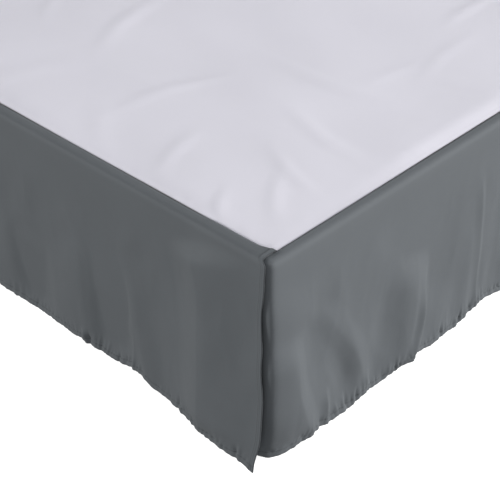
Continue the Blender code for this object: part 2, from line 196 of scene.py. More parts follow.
FOOT_FOLDS = (
    Fold(0.045, 0.030, 0.040, 0.0010, 0.270, 1.0, 0.001),
    Fold(0.068, 0.066, 0.020, 0.0020, 0.110, 1.0, 0.002),
    Fold(0.102, 0.106, 0.022, -0.0020, 0.100, 1.0, 0.001),
    Fold(0.152, 0.160, 0.036, 0.0035, 0.110, 1.0, -0.001),
    Fold(0.168, 0.080, 0.036, -0.0050, 0.280, 0.0, 0.000),
    Fold(0.189, 0.196, 0.022, -0.0035, 0.120, 1.0, 0.003),
    Fold(0.222, 0.240, 0.034, 0.0040, 0.160, 1.0, -0.001),
    Fold(0.225, 0.255, 0.045, -0.0045, 0.250, 0.0, 0.000),
    Fold(0.346, 0.356, 0.022, -0.0030, 0.080, 1.0, 0.003),
    Fold(0.318, 0.335, 0.030, 0.0020, 0.270, 1.0, 0.000),
    Fold(0.390, 0.400, 0.040, 0.0020, 0.200, 1.0, 0.000),
    Fold(0.446, 0.450, 0.034, 0.0030, 0.200, 1.0, 0.000),
    Fold(0.478, 0.485, 0.026, -0.0030, 0.160, 1.0, 0.002),
    Fold(0.500, 0.512, 0.024, 0.0020, 0.210, 1.0, 0.003),
    Fold(0.530, 0.545, 0.040, -0.0040, 0.260, 1.0, 0.002),
    Fold(0.590, 0.585, 0.045, 0.0040, 0.240, 1.0, 0.000),
    Fold(0.665, 0.690, 0.032, -0.0050, 0.270, 1.0, 0.003),
    Fold(0.745, 0.735, 0.052, 0.0045, 0.230, 1.0, -0.001),
    Fold(0.825, 0.815, 0.028, -0.0045, 0.190, 1.0, 0.003),
    Fold(0.880, 0.915, 0.044, -0.0050, 0.290, 0.0, 0.000),
    Fold(0.905, 0.905, 0.050, 0.0045, 0.200, 1.0, -0.001),
    Fold(0.980, 0.955, 0.030, -0.0055, 0.270, 1.0, 0.004),
    Fold(1.050, 1.060, 0.046, 0.0045, 0.220, 1.0, 0.000),
    Fold(1.120, 1.130, 0.026, -0.0040, 0.150, 1.0, 0.003),
    Fold(1.190, 1.160, 0.046, -0.0050, 0.280, 0.0, 0.000),
    Fold(1.200, 1.195, 0.050, 0.0050, 0.200, 1.0, -0.001),
    Fold(1.280, 1.305, 0.030, -0.0050, 0.250, 1.0, 0.003),
    Fold(1.345, 1.355, 0.044, 0.0035, 0.210, 1.0, 0.000),
    Fold(1.410, 1.425, 0.030, -0.0030, 0.180, 1.0, 0.002),
)

# The finer creases that the solids leave out. path: places along the panel and heights, from low to high.
# before and after: the crease's width towards the panel's start and towards its end. crisp: 0 for a round
# fold, 1 for one with a sharp line. fade_low and fade_high: how long its two ends take to die out.
LEFT_CREASES = (
    Crease(((0.098, -0.010), (0.097, 0.080), (0.100, 0.140), (0.104, 0.200), (0.107, 0.266), (0.128, 0.345)),
           0.108, 0.066, 0.0160, 0.35, 0.070, 0.030),
    Crease(((0.274, -0.010), (0.274, 0.080), (0.274, 0.140), (0.284, 0.250)),
           0.056, 0.045, 0.0052, 0.20, 0.0, 0.080),
    Crease(((0.318, -0.010), (0.321, 0.080), (0.316, 0.140), (0.328, 0.260)),
           0.050, 0.058, -0.0108, 0.20, 0.0, 0.110),
    Crease(((0.384, -0.010), (0.386, 0.100), (0.396, 0.230)), 0.040, 0.105, 0.0044, 0.30, 0.0, 0.090),
    Crease(((0.514, -0.010), (0.518, 0.100), (0.528, 0.200)), 0.060, 0.060, -0.0108, 0.30, 0.0, 0.080),
    Crease(((0.280, 0.004), (0.272, 0.060), (0.268, 0.100)), 0.016, 0.009, 0.0022, 0.80, 0.0, 0.030),
    Crease(((0.394, 0.004), (0.386, 0.050)), 0.014, 0.008, 0.0018, 0.80, 0.0, 0.025),
    Crease(((0.022, 0.086), (0.052, 0.098), (0.082, 0.112)), 0.012, 0.016, 0.0010, 0.60, 0.015, 0.020),
)

# How far the hem rises above its solid's at places along it. These two tables were fitted to the hem line of
# the photo, which shows the first half metre of two panels.
LEFT_HEM = (
    HemPoint(0.000, 0.0000), HemPoint(0.023, 0.0022), HemPoint(0.040, 0.0030), HemPoint(0.058, 0.0036),
    HemPoint(0.077, 0.0030), HemPoint(0.097, 0.0046), HemPoint(0.118, 0.0048), HemPoint(0.138, 0.0010),
    HemPoint(0.160, -0.0016), HemPoint(0.183, -0.0046), HemPoint(0.203, -0.0047),
    HemPoint(0.224, -0.0016), HemPoint(0.243, 0.0056), HemPoint(0.261, 0.0062), HemPoint(0.279, 0.0061),
    HemPoint(0.299, 0.0002), HemPoint(0.320, -0.0043), HemPoint(0.340, -0.0058),
    HemPoint(0.359, -0.0020), HemPoint(0.380, 0.0022), HemPoint(0.400, 0.0067), HemPoint(0.420, 0.0024),
    HemPoint(0.441, 0.0043), HemPoint(0.461, 0.0012), HemPoint(0.483, -0.0025),
    HemPoint(0.505, -0.0073), HemPoint(0.526, -0.0099), HemPoint(0.547, -0.0085),
    HemPoint(0.570, -0.0038), HemPoint(0.620, 0.0000),
)
FOOT_HEM = (
    HemPoint(-0.024, 0.0000), HemPoint(0.004, 0.0018), HemPoint(0.024, 0.0039), HemPoint(0.042, 0.0056),
    HemPoint(0.060, 0.0080), HemPoint(0.079, 0.0012), HemPoint(0.098, 0.0002),
    HemPoint(0.117, -0.0062), HemPoint(0.135, -0.0028), HemPoint(0.155, -0.0047),
    HemPoint(0.174, 0.0006), HemPoint(0.194, 0.0046), HemPoint(0.214, 0.0021), HemPoint(0.234, 0.0014),
    HemPoint(0.255, 0.0049), HemPoint(0.276, 0.0106), HemPoint(0.296, 0.0136), HemPoint(0.320, 0.0070),
    HemPoint(0.346, -0.0040), HemPoint(0.364, -0.0052), HemPoint(0.382, -0.0020),
    HemPoint(0.404, -0.0011), HemPoint(0.427, -0.0052), HemPoint(0.449, 0.0023),
    HemPoint(0.472, 0.0030), HemPoint(0.495, 0.0081), HemPoint(0.560, 0.0000),
)
RIGHT_CREASES = (
    Crease(((0.126, -0.010), (0.130, 0.120), (0.148, 0.345)), 0.050, 0.050, 0.0045, 0.60, 0.0, 0.040),
    Crease(((0.335, -0.010), (0.345, 0.120), (0.372, 0.270)), 0.050, 0.055, -0.0050, 0.40, 0.0, 0.080),
    Crease(((0.530, -0.010), (0.520, 0.110), (0.525, 0.220)), 0.045, 0.070, 0.0035, 0.40, 0.0, 0.080),
    Crease(((0.870, -0.010), (0.850, 0.130), (0.842, 0.240)), 0.060, 0.045, -0.0050, 0.50, 0.0, 0.080),
    Crease(((1.262, -0.010), (1.285, 0.140), (1.290, 0.250)), 0.045, 0.065, -0.0048, 0.50, 0.0, 0.080),
    Crease(((1.636, -0.010), (1.620, 0.120), (1.600, 0.230)), 0.060, 0.040, 0.0045, 0.50, 0.0, 0.080),
)
FOOT_CREASES = (
    Crease(((0.0040, 0.000), (0.0040, 0.150), (0.0040, 0.330)), 0.016, 0.078, 0.0070, 0.10, 0.090, 0.080),
    Crease(((0.058, -0.010), (0.052, 0.030), (0.038, 0.075), (0.024, 0.120), (0.016, 0.190), (0.018, 0.230)),
           0.052, 0.034, 0.0104, 0.30, 0.0, 0.050),
    Crease(((0.146, -0.010), (0.142, 0.030), (0.128, 0.080), (0.103, 0.120), (0.076, 0.170), (0.054, 0.220),
            (0.044, 0.260)), 0.060, 0.036, -0.0044, 0.25, 0.030, 0.050),
    Crease(((0.187, -0.010), (0.184, 0.050), (0.176, 0.080), (0.160, 0.120), (0.128, 0.170), (0.100, 0.215),
            (0.082, 0.255)), 0.036, 0.032, 0.0050, 0.40, 0.0, 0.050),
    Crease(((0.284, -0.010), (0.288, 0.050), (0.297, 0.120), (0.302, 0.170), (0.316, 0.245)),
           0.080, 0.056, 0.0158, 0.20, 0.040, 0.080),
    Crease(((0.291, -0.010), (0.296, 0.025), (0.304, 0.050), (0.316, 0.085), (0.321, 0.120), (0.330, 0.190)),
           0.018, 0.014, 0.0088, 0.70, 0.0, 0.090),
    Crease(((0.101, -0.010), (0.102, 0.030), (0.101, 0.085)), 0.018, 0.013, 0.0058, 0.75, 0.0, 0.040),
    Crease(((0.189, -0.010), (0.196, 0.064)), 0.016, 0.011, 0.0046, 0.80, 0.0, 0.030),
    Crease(((0.143, -0.010), (0.143, 0.045)), 0.012, 0.009, 0.0024, 0.80, 0.0, 0.025),
    Crease(((0.058, -0.010), (0.059, 0.060)), 0.015, 0.010, 0.0032, 0.80, 0.0, 0.030),
    Crease(((0.382, -0.010), (0.384, 0.045)), 0.012, 0.009, 0.0028, 0.80, 0.0, 0.025),
    Crease(((0.402, 0.010), (0.406, 0.065)), 0.014, 0.012, 0.0014, 0.80, 0.012, 0.030),
    Crease(((0.450, -0.010), (0.454, 0.070)), 0.022, 0.018, 0.0018, 0.60, 0.0, 0.040),
    Crease(((0.490, -0.010), (0.486, 0.060), (0.474, 0.212), (0.464, 0.300)),
           0.020, 0.012, 0.0026, 0.70, 0.0, 0.050),
    Crease(((0.655, -0.010), (0.668, 0.120), (0.690, 0.260)), 0.080, 0.050, 0.0070, 0.30, 0.0, 0.070),
    Crease(((0.812, -0.010), (0.806, 0.100), (0.800, 0.200)), 0.045, 0.022, 0.0040, 0.60, 0.0, 0.060),
    Crease(((0.980, -0.010), (0.968, 0.130), (0.950, 0.260)), 0.040, 0.070, -0.0055, 0.50, 0.0, 0.070),
    Crease(((1.118, -0.010), (1.130, 0.110)), 0.022, 0.036, -0.0030, 0.60, 0.0, 0.060),
    Crease(((1.272, -0.010), (1.290, 0.120), (1.312, 0.250)), 0.040, 0.060, 0.0055, 0.50, 0.0, 0.070),
    Crease(((1.478, -0.010), (1.4785, 0.120), (1.479, 0.240)), 0.016, 0.018, 0.0045, 0.45, 0.0, 0.130),
)

# How far the free end of a side panel runs forward of the seam's corner, from the seam down to the hem
LEFT_FREE_EDGE = (
    EdgePoint(0.00, 0.003), EdgePoint(0.02, 0.011), EdgePoint(0.13, 0.0110), EdgePoint(0.25, 0.0080),
    EdgePoint(0.45, 0.0130), EdgePoint(0.66, 0.020), EdgePoint(0.85, 0.021), EdgePoint(1.00, 0.014),
)
RIGHT_FREE_EDGE = (
    EdgePoint(0.00, 0.000), EdgePoint(0.04, 0.005), EdgePoint(0.10, 0.006), EdgePoint(0.35, 0.011),
    EdgePoint(0.60, 0.009), EdgePoint(0.80, 0.017), EdgePoint(1.00, 0.020),
)


def mix(a, b, share):
    return a + (b - a) * share


def smooth_step(value, start, end):
    share = np.clip((value - start) / (end - start), 0.0, 1.0)
    return share * share * (3.0 - 2.0 * share)


def hump(x):
    """A soft hump, 1 at 0 and flat at -1 and 1."""
    return np.where(np.abs(x) < 1.0, (1.0 - np.clip(x * x, 0.0, 1.0)) ** 2, 0.0)


def soft_max(a, b, softness):
    return 0.5 * (a + b + np.sqrt((a - b) ** 2 + softness * softness))


def smooth_path(points, steps=5):
    """More points on a smooth curve through the given ones."""
    points = [np.array(p, float) for p in points]
    ends = [2 * points[0] - points[1]] + points + [2 * points[-1] - points[-2]]
    path = []
    for before, low, high, after in zip(ends, ends[1:], ends[2:], ends[3:]):
        for step in range(steps):
            t = step / steps
            curve = 2 * before - 5 * low + 4 * high - after
            path.append(0.5 * (2 * low + (high - before) * t + curve * t * t
                               + (3 * low - before - 3 * high + after) * t ** 3))
    path.append(points[-1])
    return path


def fold_offset(folds, along, height):
    """How far the folds push the cloth out at each place along the panel and height."""
    offset = np.zeros(np.broadcast(along, height).shape)
    for fold in folds:
        down = np.maximum(0.0, (fold.reach - height) / (fold.reach - HEM))
        centre = mix(fold.top_at, fold.hem_at, down)
        rounded = np.sin(math.pi * np.minimum(down, 1.0))
        growth = fold.keep * down ** 1.2 + (1.0 - fold.keep) * rounded
        offset += fold.depth * hump((along - centre) / fold.half_width) * growth
    return offset * mix(HEM_STIFFENS, 1.0, smooth_step(height, HEM, HEM_STIFFENS_FROM))


def crease_offset(crease, along, height):
    """The push of one crease: its profile across the path, faded at the path's two ends."""
    path = smooth_path(crease.path)
    nearest = np.full(along.shape, 1e9)
    across = np.zeros(along.shape)
    place = np.zeros(along.shape)
    walked = 0.0
    for low, high in zip(path, path[1:]):
        run = high - low
        length = math.hypot(*run)
        share = np.clip(((along - low[0]) * run[0] + (height - low[1]) * run[1]) / length ** 2, 0.0, 1.0)
        from_x = along - (low[0] + share * run[0])
        from_y = height - (low[1] + share * run[1])
        distance = np.hypot(from_x, from_y)
        closer = distance < nearest
        nearest = np.where(closer, distance, nearest)
        across = np.where(closer, np.sign(from_x * run[1] - from_y * run[0]) * distance, across)
        place = np.where(closer, walked + share * length, place)
        walked += length
    width = np.where(across < 0.0, crease.before, crease.after)
    side = np.clip(np.abs(across) / width, 0.0, 1.0)
    profile = mix((1.0 - side ** 2) ** 2, (1.0 - side) ** 2, crease.crisp)
    fade = np.ones(along.shape)
    if crease.fade_low > 0.0:
        fade = fade * smooth_step(place, 0.0, crease.fade_low)
    if crease.fade_high > 0.0:
        fade = fade * (1.0 - smooth_step(place, walked - crease.fade_high, walked))
    return crease.depth * profile * fade


# Lengths of the panels' slight waves
DRIFT_LENGTHS = (0.46, 0.31, 0.22, 0.155, 0.11, 0.078)


def drift(along, height, seed, depth):
    """Slight long waves of cloth that has lain folded: none at the top edge, most at half height."""
    random = np.random.default_rng(seed)
    waves = np.zeros(along.shape)
    for length in DRIFT_LENGTHS:
        slant = random.uniform(-0.6, 0.6)
        bend = random.uniform(0.5, 1.6)
        phase = random.uniform(0.0, 2.0 * math.pi)
        swell = 0.6 + 0.4 * np.sin(2.0 * math.pi * along / (length * 3.7) + 2.0 * phase + 6.0 * bend * height)
        place = along + slant * height + 0.02 * np.sin(bend * 9.0 * height + phase)
        waves += length ** 0.9 * swell * np.sin(2.0 * math.pi * place / length + phase)
    down = np.clip((BASE_TOP - BASE_EDGE - height) / BASE_TOP, 0.0, 1.0)
    return depth * waves * smooth_step(down, 0.0, 0.35) * (1.0 - 0.9 * smooth_step(down, 0.55, 1.0))


# The creases of wear: how often they cross a metre along and up a panel, how much they slant, and how much
# closer and weaker the fine ones among them are
CRUMPLE_ALONG = 11.0
CRUMPLE_UP = 7.0
CRUMPLE_SLANT = 3.0
CRUMPLE_CLOSER = 2.7
CRUMPLE_WEAKER = 0.35


def crumple(along, height, seed, depth):
    """Faint, irregular creases from wear: soft lines where the noise crosses zero."""
    push = np.zeros(along.shape)
    for (column, row), place in np.ndenumerate(along):
        up = height[column, row] * CRUMPLE_UP - place * CRUMPLE_SLANT
        spot = Vector((place * CRUMPLE_ALONG + seed * 7.0, up, seed * 1.7))
        broad = noise.noise(spot)
        fine = noise.noise(spot * CRUMPLE_CLOSER)
        push[column, row] = (0.5 - abs(broad)) + CRUMPLE_WEAKER * (0.5 - abs(fine))
    down = np.clip((BASE_TOP - BASE_EDGE - height) / BASE_TOP, 0.0, 1.0)
    return depth * (push - 0.4) * smooth_step(down, 0.02, 0.25)


# The ripples of a hem, from least to most: the step to the next, the half width and the height over the
# stitches. The reach bounds the columns that one can touch.
PUCKER_STEPS = (0.0045, 0.0120)
PUCKER_HALF_WIDTHS = (0.0035, 0.0065)
PUCKER_HEIGHTS = (0.010, 0.030)
PUCKER_REACH = 0.02


def hem_puckers(along, from_hem, seed, sizes):
    """Short ripples that the hem's stitching draws up, in loose groups along the hem."""
    random = np.random.default_rng(seed)
    push = np.zeros(along.shape)
    columns = along[:, 0]
    place = columns[0]
    while place < columns[-1]:
        place += random.uniform(*PUCKER_STEPS)
        group = 0.5 + 0.5 * math.sin(place * 41.0 + seed) * math.sin(place * 17.3 + 2.0 * seed)
        strength = random.uniform(0.25, 1.0) * mix(0.35, 1.0, group)
        half_width = random.uniform(*PUCKER_HALF_WIDTHS)
        tall = random.uniform(*PUCKER_HEIGHTS) * mix(0.6, 1.2, group)
        slant = random.uniform(-0.25, 0.25)
        sign = random.choice((-1.0, 1.0, 1.0))
        low = np.searchsorted(columns, place - PUCKER_REACH)
        high = np.searchsorted(columns, place + PUCKER_REACH)
        near = slice(low, high)
        above = from_hem[near] - sizes.hem_stitch
        across = hump((along[near] - place - slant * above) / half_width)
        grown = np.where(above < 0.0, 0.55 + 0.45 * from_hem[near] / sizes.hem_stitch, hump(above / tall))
        push[near] += sign * strength * sizes.pucker_depth * across * grown
    return push


# The same of a hem's pinches
TICK_STEPS = (0.0042, 0.0080)
TICK_HALF_WIDTHS = (0.0022, 0.0034)
TICK_HEIGHTS = (0.009, 0.013)
TICK_REACH = 0.008


def hem_ticks(along, from_hem, seed, sizes):
    """The small pinches between the stitches of a hem."""
    random = np.random.default_rng(seed)
    push = np.zeros(along.shape)
    columns = along[:, 0]
    place = columns[0]
    while place < columns[-1]:
        place += random.uniform(*TICK_STEPS)
        half_width = random.uniform(*TICK_HALF_WIDTHS)
        low = np.searchsorted(columns, place - TICK_REACH)
        high = np.searchsorted(columns, place + TICK_REACH)
        near = slice(low, high)
        slant = random.uniform(-0.5, 0.5)
        across = hump((along[near] - place - slant * (from_hem[near] - sizes.hem_stitch)) / half_width)
        grown = hump((from_hem[near] - sizes.hem_stitch) / random.uniform(*TICK_HEIGHTS))
        push[near] -= random.uniform(0.3, 1.0) * sizes.tick_depth * across * grown
    return push


def hem_rise(table, along):
    """How far the hem is lifted at each place along a panel."""
    rise = np.zeros(along.shape)
    for low, high in zip(table, table[1:]):
        within = (along >= low.at) & (along < high.at)
        rise = np.where(within, mix(low.rise, high.rise, smooth_step(along, low.at, high.at)), rise)
    return rise


def free_edge_forward(table, down):
    forward = np.full(down.shape, table[-1].forward)
    for low, high in reversed(list(zip(table, table[1:]))):
        between = mix(low.forward, high.forward, smooth_step(down, low.down, high.down))
        forward = np.where(down <= high.down, between, forward)
    return forward


# Rows of a panel: places on the top strip as distances from the seam, then angles round the base's edge,
# then distances from the hem's edge
STRIP_ROWS = (0.0, 0.0004, 0.0009, 0.0016, 0.0026, 0.0042)
EDGE_ROWS = (0.0, 12.0, 24.0, 33.0, 39.0, 43.0, 47.0, 51.0, 57.0, 66.0, 78.0, 90.0)
HEM_ROWS = (0.0, 0.0003, 0.0008, 0.0018, 0.0034, 0.0055, 0.0078, 0.0095, 0.0103, 0.0110, 0.0117, 0.0125,
            0.0132, 0.0145, 0.0165, 0.0195, 0.0235, 0.0285, 0.0345, 0.0415)
DROP = BASE_TOP - BASE_EDGE - HEM
DROP_ROW = 0.0083

# Places of the fine columns at a hemmed free end, as distances from it
END_COLUMNS = (0.0, 0.0003, 0.0008, 0.0018, 0.0032, 0.0042, 0.0047, 0.0055, 0.0068, 0.0078, 0.0085, 0.0092,
               0.0100, 0.0112, 0.0130, 0.0152)

Cloth = namedtuple("Cloth", "middle outward along from_hem from_start from_end")


def graded(length, fine, fine_until, coarse):
    """Places of the columns: fine at both hemmed ends and up to fine_until, coarser past it."""
    start = list(END_COLUMNS)
    end = [length - place for place in reversed(END_COLUMNS)]
    change = min(max(fine_until, start[-1]), end[0])
    places = start
    for low, high, step in ((start[-1], change, fine), (change, end[0], coarse)):
        count = round((high - low) / step)
        places += [low + (high - low) * (i + 1) / count for i in range(count)]
    return np.array(places + end[1:])


def hang_cloth(along, seam, edge, outward, shape):
    """The middle of a hanging panel, columns by rows, from its seam over the base's edge to its hem."""
    columns = len(along)
    flat = np.zeros(columns)
    raise_by = shape.get("raise_by", flat)
    seam_height = shape.get("seam_height", flat + LAID)
    flare = shape.get("flare", flat)
    droop = shape.get("droop", flat)
    folds = shape["folds"]
    crown = edge - outward * BASE_EDGE
    strip = np.linalg.norm(crown - seam, axis=1)
    rows = []
    from_hem = []
    for distance in STRIP_ROWS:
        share = distance / strip
        lift = mix(seam_height, DRAPED, share * share * (3.0 - 2.0 * share))
        shoulder = SEAM_SHOULDER * hump((distance - SEAM_SHOULDER_AT) / SEAM_SHOULDER_AT)
        dip = SEAM_DIP * math.exp(-(distance / SEAM_DIP_WIDTH) ** 2)
        height = BASE_TOP + raise_by + lift + shoulder - dip
        rows.append(np.column_stack([mix(seam, crown, share[:, None]), height]))
        from_hem.append(DROP + (BASE_EDGE + DRAPED) * math.pi / 2 + strip - distance)
    crisp = shape["edge_crisp"]
    for angle in EDGE_ROWS:
        turn = math.radians(angle)
        corner = (math.sin(turn) ** crisp + math.cos(turn) ** crisp) ** (-1.0 / crisp)
        reach = (BASE_EDGE + DRAPED + raise_by) * corner
        plan = crown + outward * (reach * math.sin(turn))[:, None]
        rows.append(np.column_stack([plan, BASE_TOP - BASE_EDGE + reach * math.cos(turn)]))
        from_hem.append(flat + DROP + (BASE_EDGE + DRAPED) * (math.pi / 2 - turn))
    lift = sum(fold.lift * hump((along - fold.hem_at) / fold.half_width) for fold in folds)
    low = HEM + HEM_STIFFENS * lift + hem_rise(shape["hem"], along) - droop
    count = round((DROP - HEM_ROWS[-1]) / DROP_ROW)
    drops = [mix(DROP, HEM_ROWS[-1], i / count) for i in range(1, count)] + list(reversed(HEM_ROWS))
    heights = np.stack([low + distance / DROP * (BASE_TOP - BASE_EDGE - low) for distance in drops], axis=1)
    places = np.repeat(along[:, None], len(drops), axis=1)
    down = (BASE_TOP - heights) / (BASE_TOP - HEM)
    out = DRAPED + HANG * down + flare[:, None] * down ** 1.5 + fold_offset(folds, places, heights)
    for crease in shape["creases"]:
        broad = crease.before + crease.after > BROAD_CREASE
        kept = mix(CREASE_AT_HEM, 1.0, smooth_step(heights, HEM, CREASE_FULL_FROM)) if broad else 1.0
        out += kept * crease_offset(crease, places, heights)
    out -= shape.get("rounds", flat)[:, None] * (1.0 - smooth_step(heights, HEM, CORNER_SQUARE_FROM))
    out += drift(places, heights, shape["seed"], shape["drift"])
    out += crumple(places, heights, shape["seed"], shape["crumple"])
    nearest = DRAPED - LEAN_IN * np.maximum(0.0, BASE_BOTTOM - heights)
    out = soft_max(out, nearest, SOFT_TOUCH) + raise_by[:, None]
    for row, distance in enumerate(drops):
        plan = edge + outward * out[:, row, None]
        rows.append(np.column_stack([plan, heights[:, row]]))
        from_hem.append(flat + distance)
    middle = np.stack(rows, axis=1)
    along_all = np.repeat(along[:, None], middle.shape[1], axis=1)
    from_start = along_all - along[0]
    from_end = along[-1] - along_all
    return Cloth(middle, outward, along_all, np.stack(from_hem, axis=1), from_start, from_end)


def surface_normals(middle, outward=None):
    """Unit normals of a grid of points, turned to the side that outward gives."""
    by_column = np.gradient(middle, axis=0)
    by_row = np.gradient(middle, axis=1)
    normal = np.cross(by_column, by_row)
    normal /= np.maximum(np.linalg.norm(normal, axis=2, keepdims=True), 1e-12)
    half = middle.shape[1] // 2
    if outward is None:
        facing = normal[:, half, 2].mean()
    else:
        facing = (normal[:, half, :2] * outward).sum()
    return normal if facing > 0.0 else -normal


def groove(distance, centre, width):
    return np.exp(-((distance - centre) / width) ** 2)


# Half the width over which a hem's doubled cloth ends, and half widths of the dips along the stitching
HEM_STEP = 0.0005
STITCH_GROOVE = 0.0007
END_STITCH_GROOVE = 0.0006

# Where the doubled cloth of a hem bulges: the share of the roll, the distance from the edge and the half width
Roll = namedtuple("Roll", "share at width")
END_EDGE_ROLL = Roll(0.25, 0.0022, 0.0016)
END_HEM_ROLL = Roll(1.0, 0.0060, 0.0014)
BOTTOM_HEM_ROLL = Roll(0.8, 0.0045, 0.0035)


def bulge(distance, roll):
    return roll.share * groove(distance, roll.at, roll.width)


def finish_panel(cloth, sizes, seed):
    """The two faces of a panel, with hems, stitch lines and puckers, and a mask of painted shade along its
    stitching, free ends and top seam.
    """
    push = hem_puckers(cloth.along, cloth.from_hem, seed, sizes)
    push += hem_ticks(cloth.along, cloth.from_hem, seed + TICK_SEED_STEP, sizes)
    middle = cloth.middle + surface_normals(cloth.middle, cloth.outward) * push[..., None]
    normal = surface_normals(middle, cloth.outward)
    half = sizes.cloth / 2
    bottom = 1.0 - smooth_step(cloth.from_hem, sizes.hem_depth - HEM_STEP, sizes.hem_depth + HEM_STEP)
    outer = np.full(bottom.shape, half)
    inner = np.full(bottom.shape, half)
    ends = np.zeros(bottom.shape)
    stitched = groove(cloth.from_hem, sizes.hem_stitch, STITCH_GROOVE)
    for from_side in (cloth.from_start, cloth.from_end):
        within = 1.0 - smooth_step(from_side, sizes.side_hem - HEM_STEP, sizes.side_hem + HEM_STEP)
        ends = np.maximum(ends, within)
        end_stitched = groove(from_side, sizes.side_hem - END_STITCH_IN, END_STITCH_GROOVE)
        stitched = np.maximum(stitched, end_stitched)
    doubled = np.maximum(bottom, ends) + 0.4 * np.minimum(bottom, ends)
    nearest_end = np.minimum(cloth.from_start, cloth.from_end)
    rolled = bulge(nearest_end, END_EDGE_ROLL) + bulge(nearest_end, END_HEM_ROLL)
    rolled = np.maximum(rolled, bulge(cloth.from_hem, BOTTOM_HEM_ROLL) * (1.0 - ends))
    outer += 0.80 * sizes.cloth * doubled + sizes.hem_roll * rolled - sizes.stitch_dip * stitched
    inner += 1.20 * sizes.cloth * doubled - 0.4 * sizes.stitch_dip * stitched
    nearest = np.minimum(cloth.from_hem, np.minimum(cloth.from_start, cloth.from_end))
    rounding = 1.2 * sizes.cloth
    ring = np.sqrt(np.clip(1.0 - (1.0 - np.clip(nearest / rounding, 0.0, 1.0)) ** 2, 0.04, 1.0))
    top = np.clip((cloth.from_hem[:, :1] - cloth.from_hem) / SEAM_DIP_WIDTH, 0.0, 3.0)
    # Painted shade: the colour is darkened along the free ends, where the rolled edge would catch the light
    rim = 0.7 * (1.0 - smooth_step(nearest_end, 0.0006, 0.0018))
    # Painted shade over the stitch grooves, the free-end rim and the seam at the top: it darkens the cloth's
    # colour there and makes it a little rougher
    worked = np.clip(0.75 * stitched + rim + 1.0 * np.exp(-top * top), 0.0, 1.0)
    return middle + normal * (outer * ring)[..., None], middle - normal * (inner * ring)[..., None], worked


def cloth_map(middle):
    """Lengths along and down a sheet in metres, for its weave."""
    centre = middle.shape[1] // 2
    along = np.concatenate([[0.0], np.cumsum(np.linalg.norm(np.diff(middle[:, centre], axis=0), axis=1))])
    down = np.linalg.norm(np.diff(middle, axis=1), axis=2).mean(axis=0)
    return along, np.concatenate([[0.0], np.cumsum(down)])


def add_sheet(name, outer, inner, worked):
    """A closed sheet between two grids of points, with its own map in metres and its mask of painted shade as
    a point attribute.
    """
    columns, rows = outer.shape[:2]
    index = np.arange(columns * rows).reshape(columns, rows)
    low = index[:-1, :-1]
    quads = np.stack([low, index[1:, :-1], index[1:, 1:], index[:-1, 1:]], axis=-1).reshape(-1, 4)
    behind = columns * rows
    rim = np.concatenate([index[:, 0], index[-1, 1:], index[-2::-1, -1], index[0, -2:0:-1]])
    next_rim = np.roll(rim, -1)
    walls = np.stack([rim, next_rim, next_rim + behind, rim + behind], axis=-1)
    faces = np.concatenate([quads, quads[:, ::-1] + behind, walls])
    mesh = bpy.data.meshes.new(name)
    points = np.concatenate([outer.reshape(-1, 3), inner.reshape(-1, 3)])
    mesh.from_pydata(points.tolist(), [], faces.tolist())
    along, down = cloth_map(outer)
    flat = np.stack(np.meshgrid(along, down, indexing="ij"), axis=-1).reshape(-1, 2)
    corners = np.zeros(len(mesh.loops), np.int32)
    mesh.loops.foreach_get("vertex_index", corners)
    cloth_uv = mesh.uv_layers.new(name="ClothMap")
    cloth_uv.data.foreach_set("uv", np.concatenate([flat, flat])[corners].astype(np.float32).ravel())
    # The mask of painted shade, stored on both faces
    mark = mesh.attributes.new("worked", "FLOAT", "POINT")
    mark.data.foreach_set("value", np.tile(worked.ravel(), 2).astype(np.float32))
    face_outwards(mesh)
    mesh.shade_smooth()
    return add_piece(name, mesh)


def face_outwards(mesh):
    bm = bmesh.new()
    bm.from_mesh(mesh)
    bmesh.ops.recalc_face_normals(bm, faces=bm.faces)
    bm.to_mesh(mesh)
    bm.free()


def add_piece(name, mesh):
    piece = bpy.data.objects.new(name, mesh)
    bpy.context.scene.collection.objects.link(piece)
    return piece


def side_panel(side, folds, creases, hem, free_edge, sizes, seed):
    """The cloth of a side panel, which flares over the foot panel's wrap at its free end."""
    along = graded(SIDE_LENGTH, sizes.fine_column, sizes.fine_until, sizes.coarse_column)
    corner = PLATFORM_LOW.y
    face = side * HALF_WIDTH
    turn_in = FLAP_TURN_IN * (1.0 - smooth_step(along, 0.0, FLAP_TURN_REACH))
    seam = np.column_stack([face - side * (SIDE_INSET - SEAM_GAP + turn_in), corner + along])
    edge = np.column_stack([np.full(len(along), face), corner + along])
    outward = np.tile((float(side), 0.0), (len(along), 1))
    shape = {
        "folds": folds,
        "creases": creases,
        "hem": hem,
        "raise_by": OVERLAY * (1.0 - smooth_step(along, WRAP + 0.010, WRAP + 0.070)),
        "seam_height": mix(DRAPED, LAID, smooth_step(along, 0.0, FLAP_RISE)),
        "flare": FLAP_FLARE * (1.0 - smooth_step(along, FLAP_START, FLAP_END)),
        "droop": TIP_DROOP * hump(along / TIP_REACH),
        "seed": seed,
        "drift": sizes.drift,
        "crumple": sizes.crumple,
        "edge_crisp": SIDE_EDGE_CRISP,
    }
    cloth = hang_cloth(along, seam, edge, outward, shape)
    heights = cloth.middle[..., 2]
    down = np.clip((heights[:, :1] - heights) / (BASE_TOP - HEM), 0.0, 1.0)
    share = 1.0 - smooth_step(along, 0.0, FLAP_STRETCH)
    cloth.middle[..., 1] -= share[:, None] * free_edge_forward(free_edge, down)
    return cloth


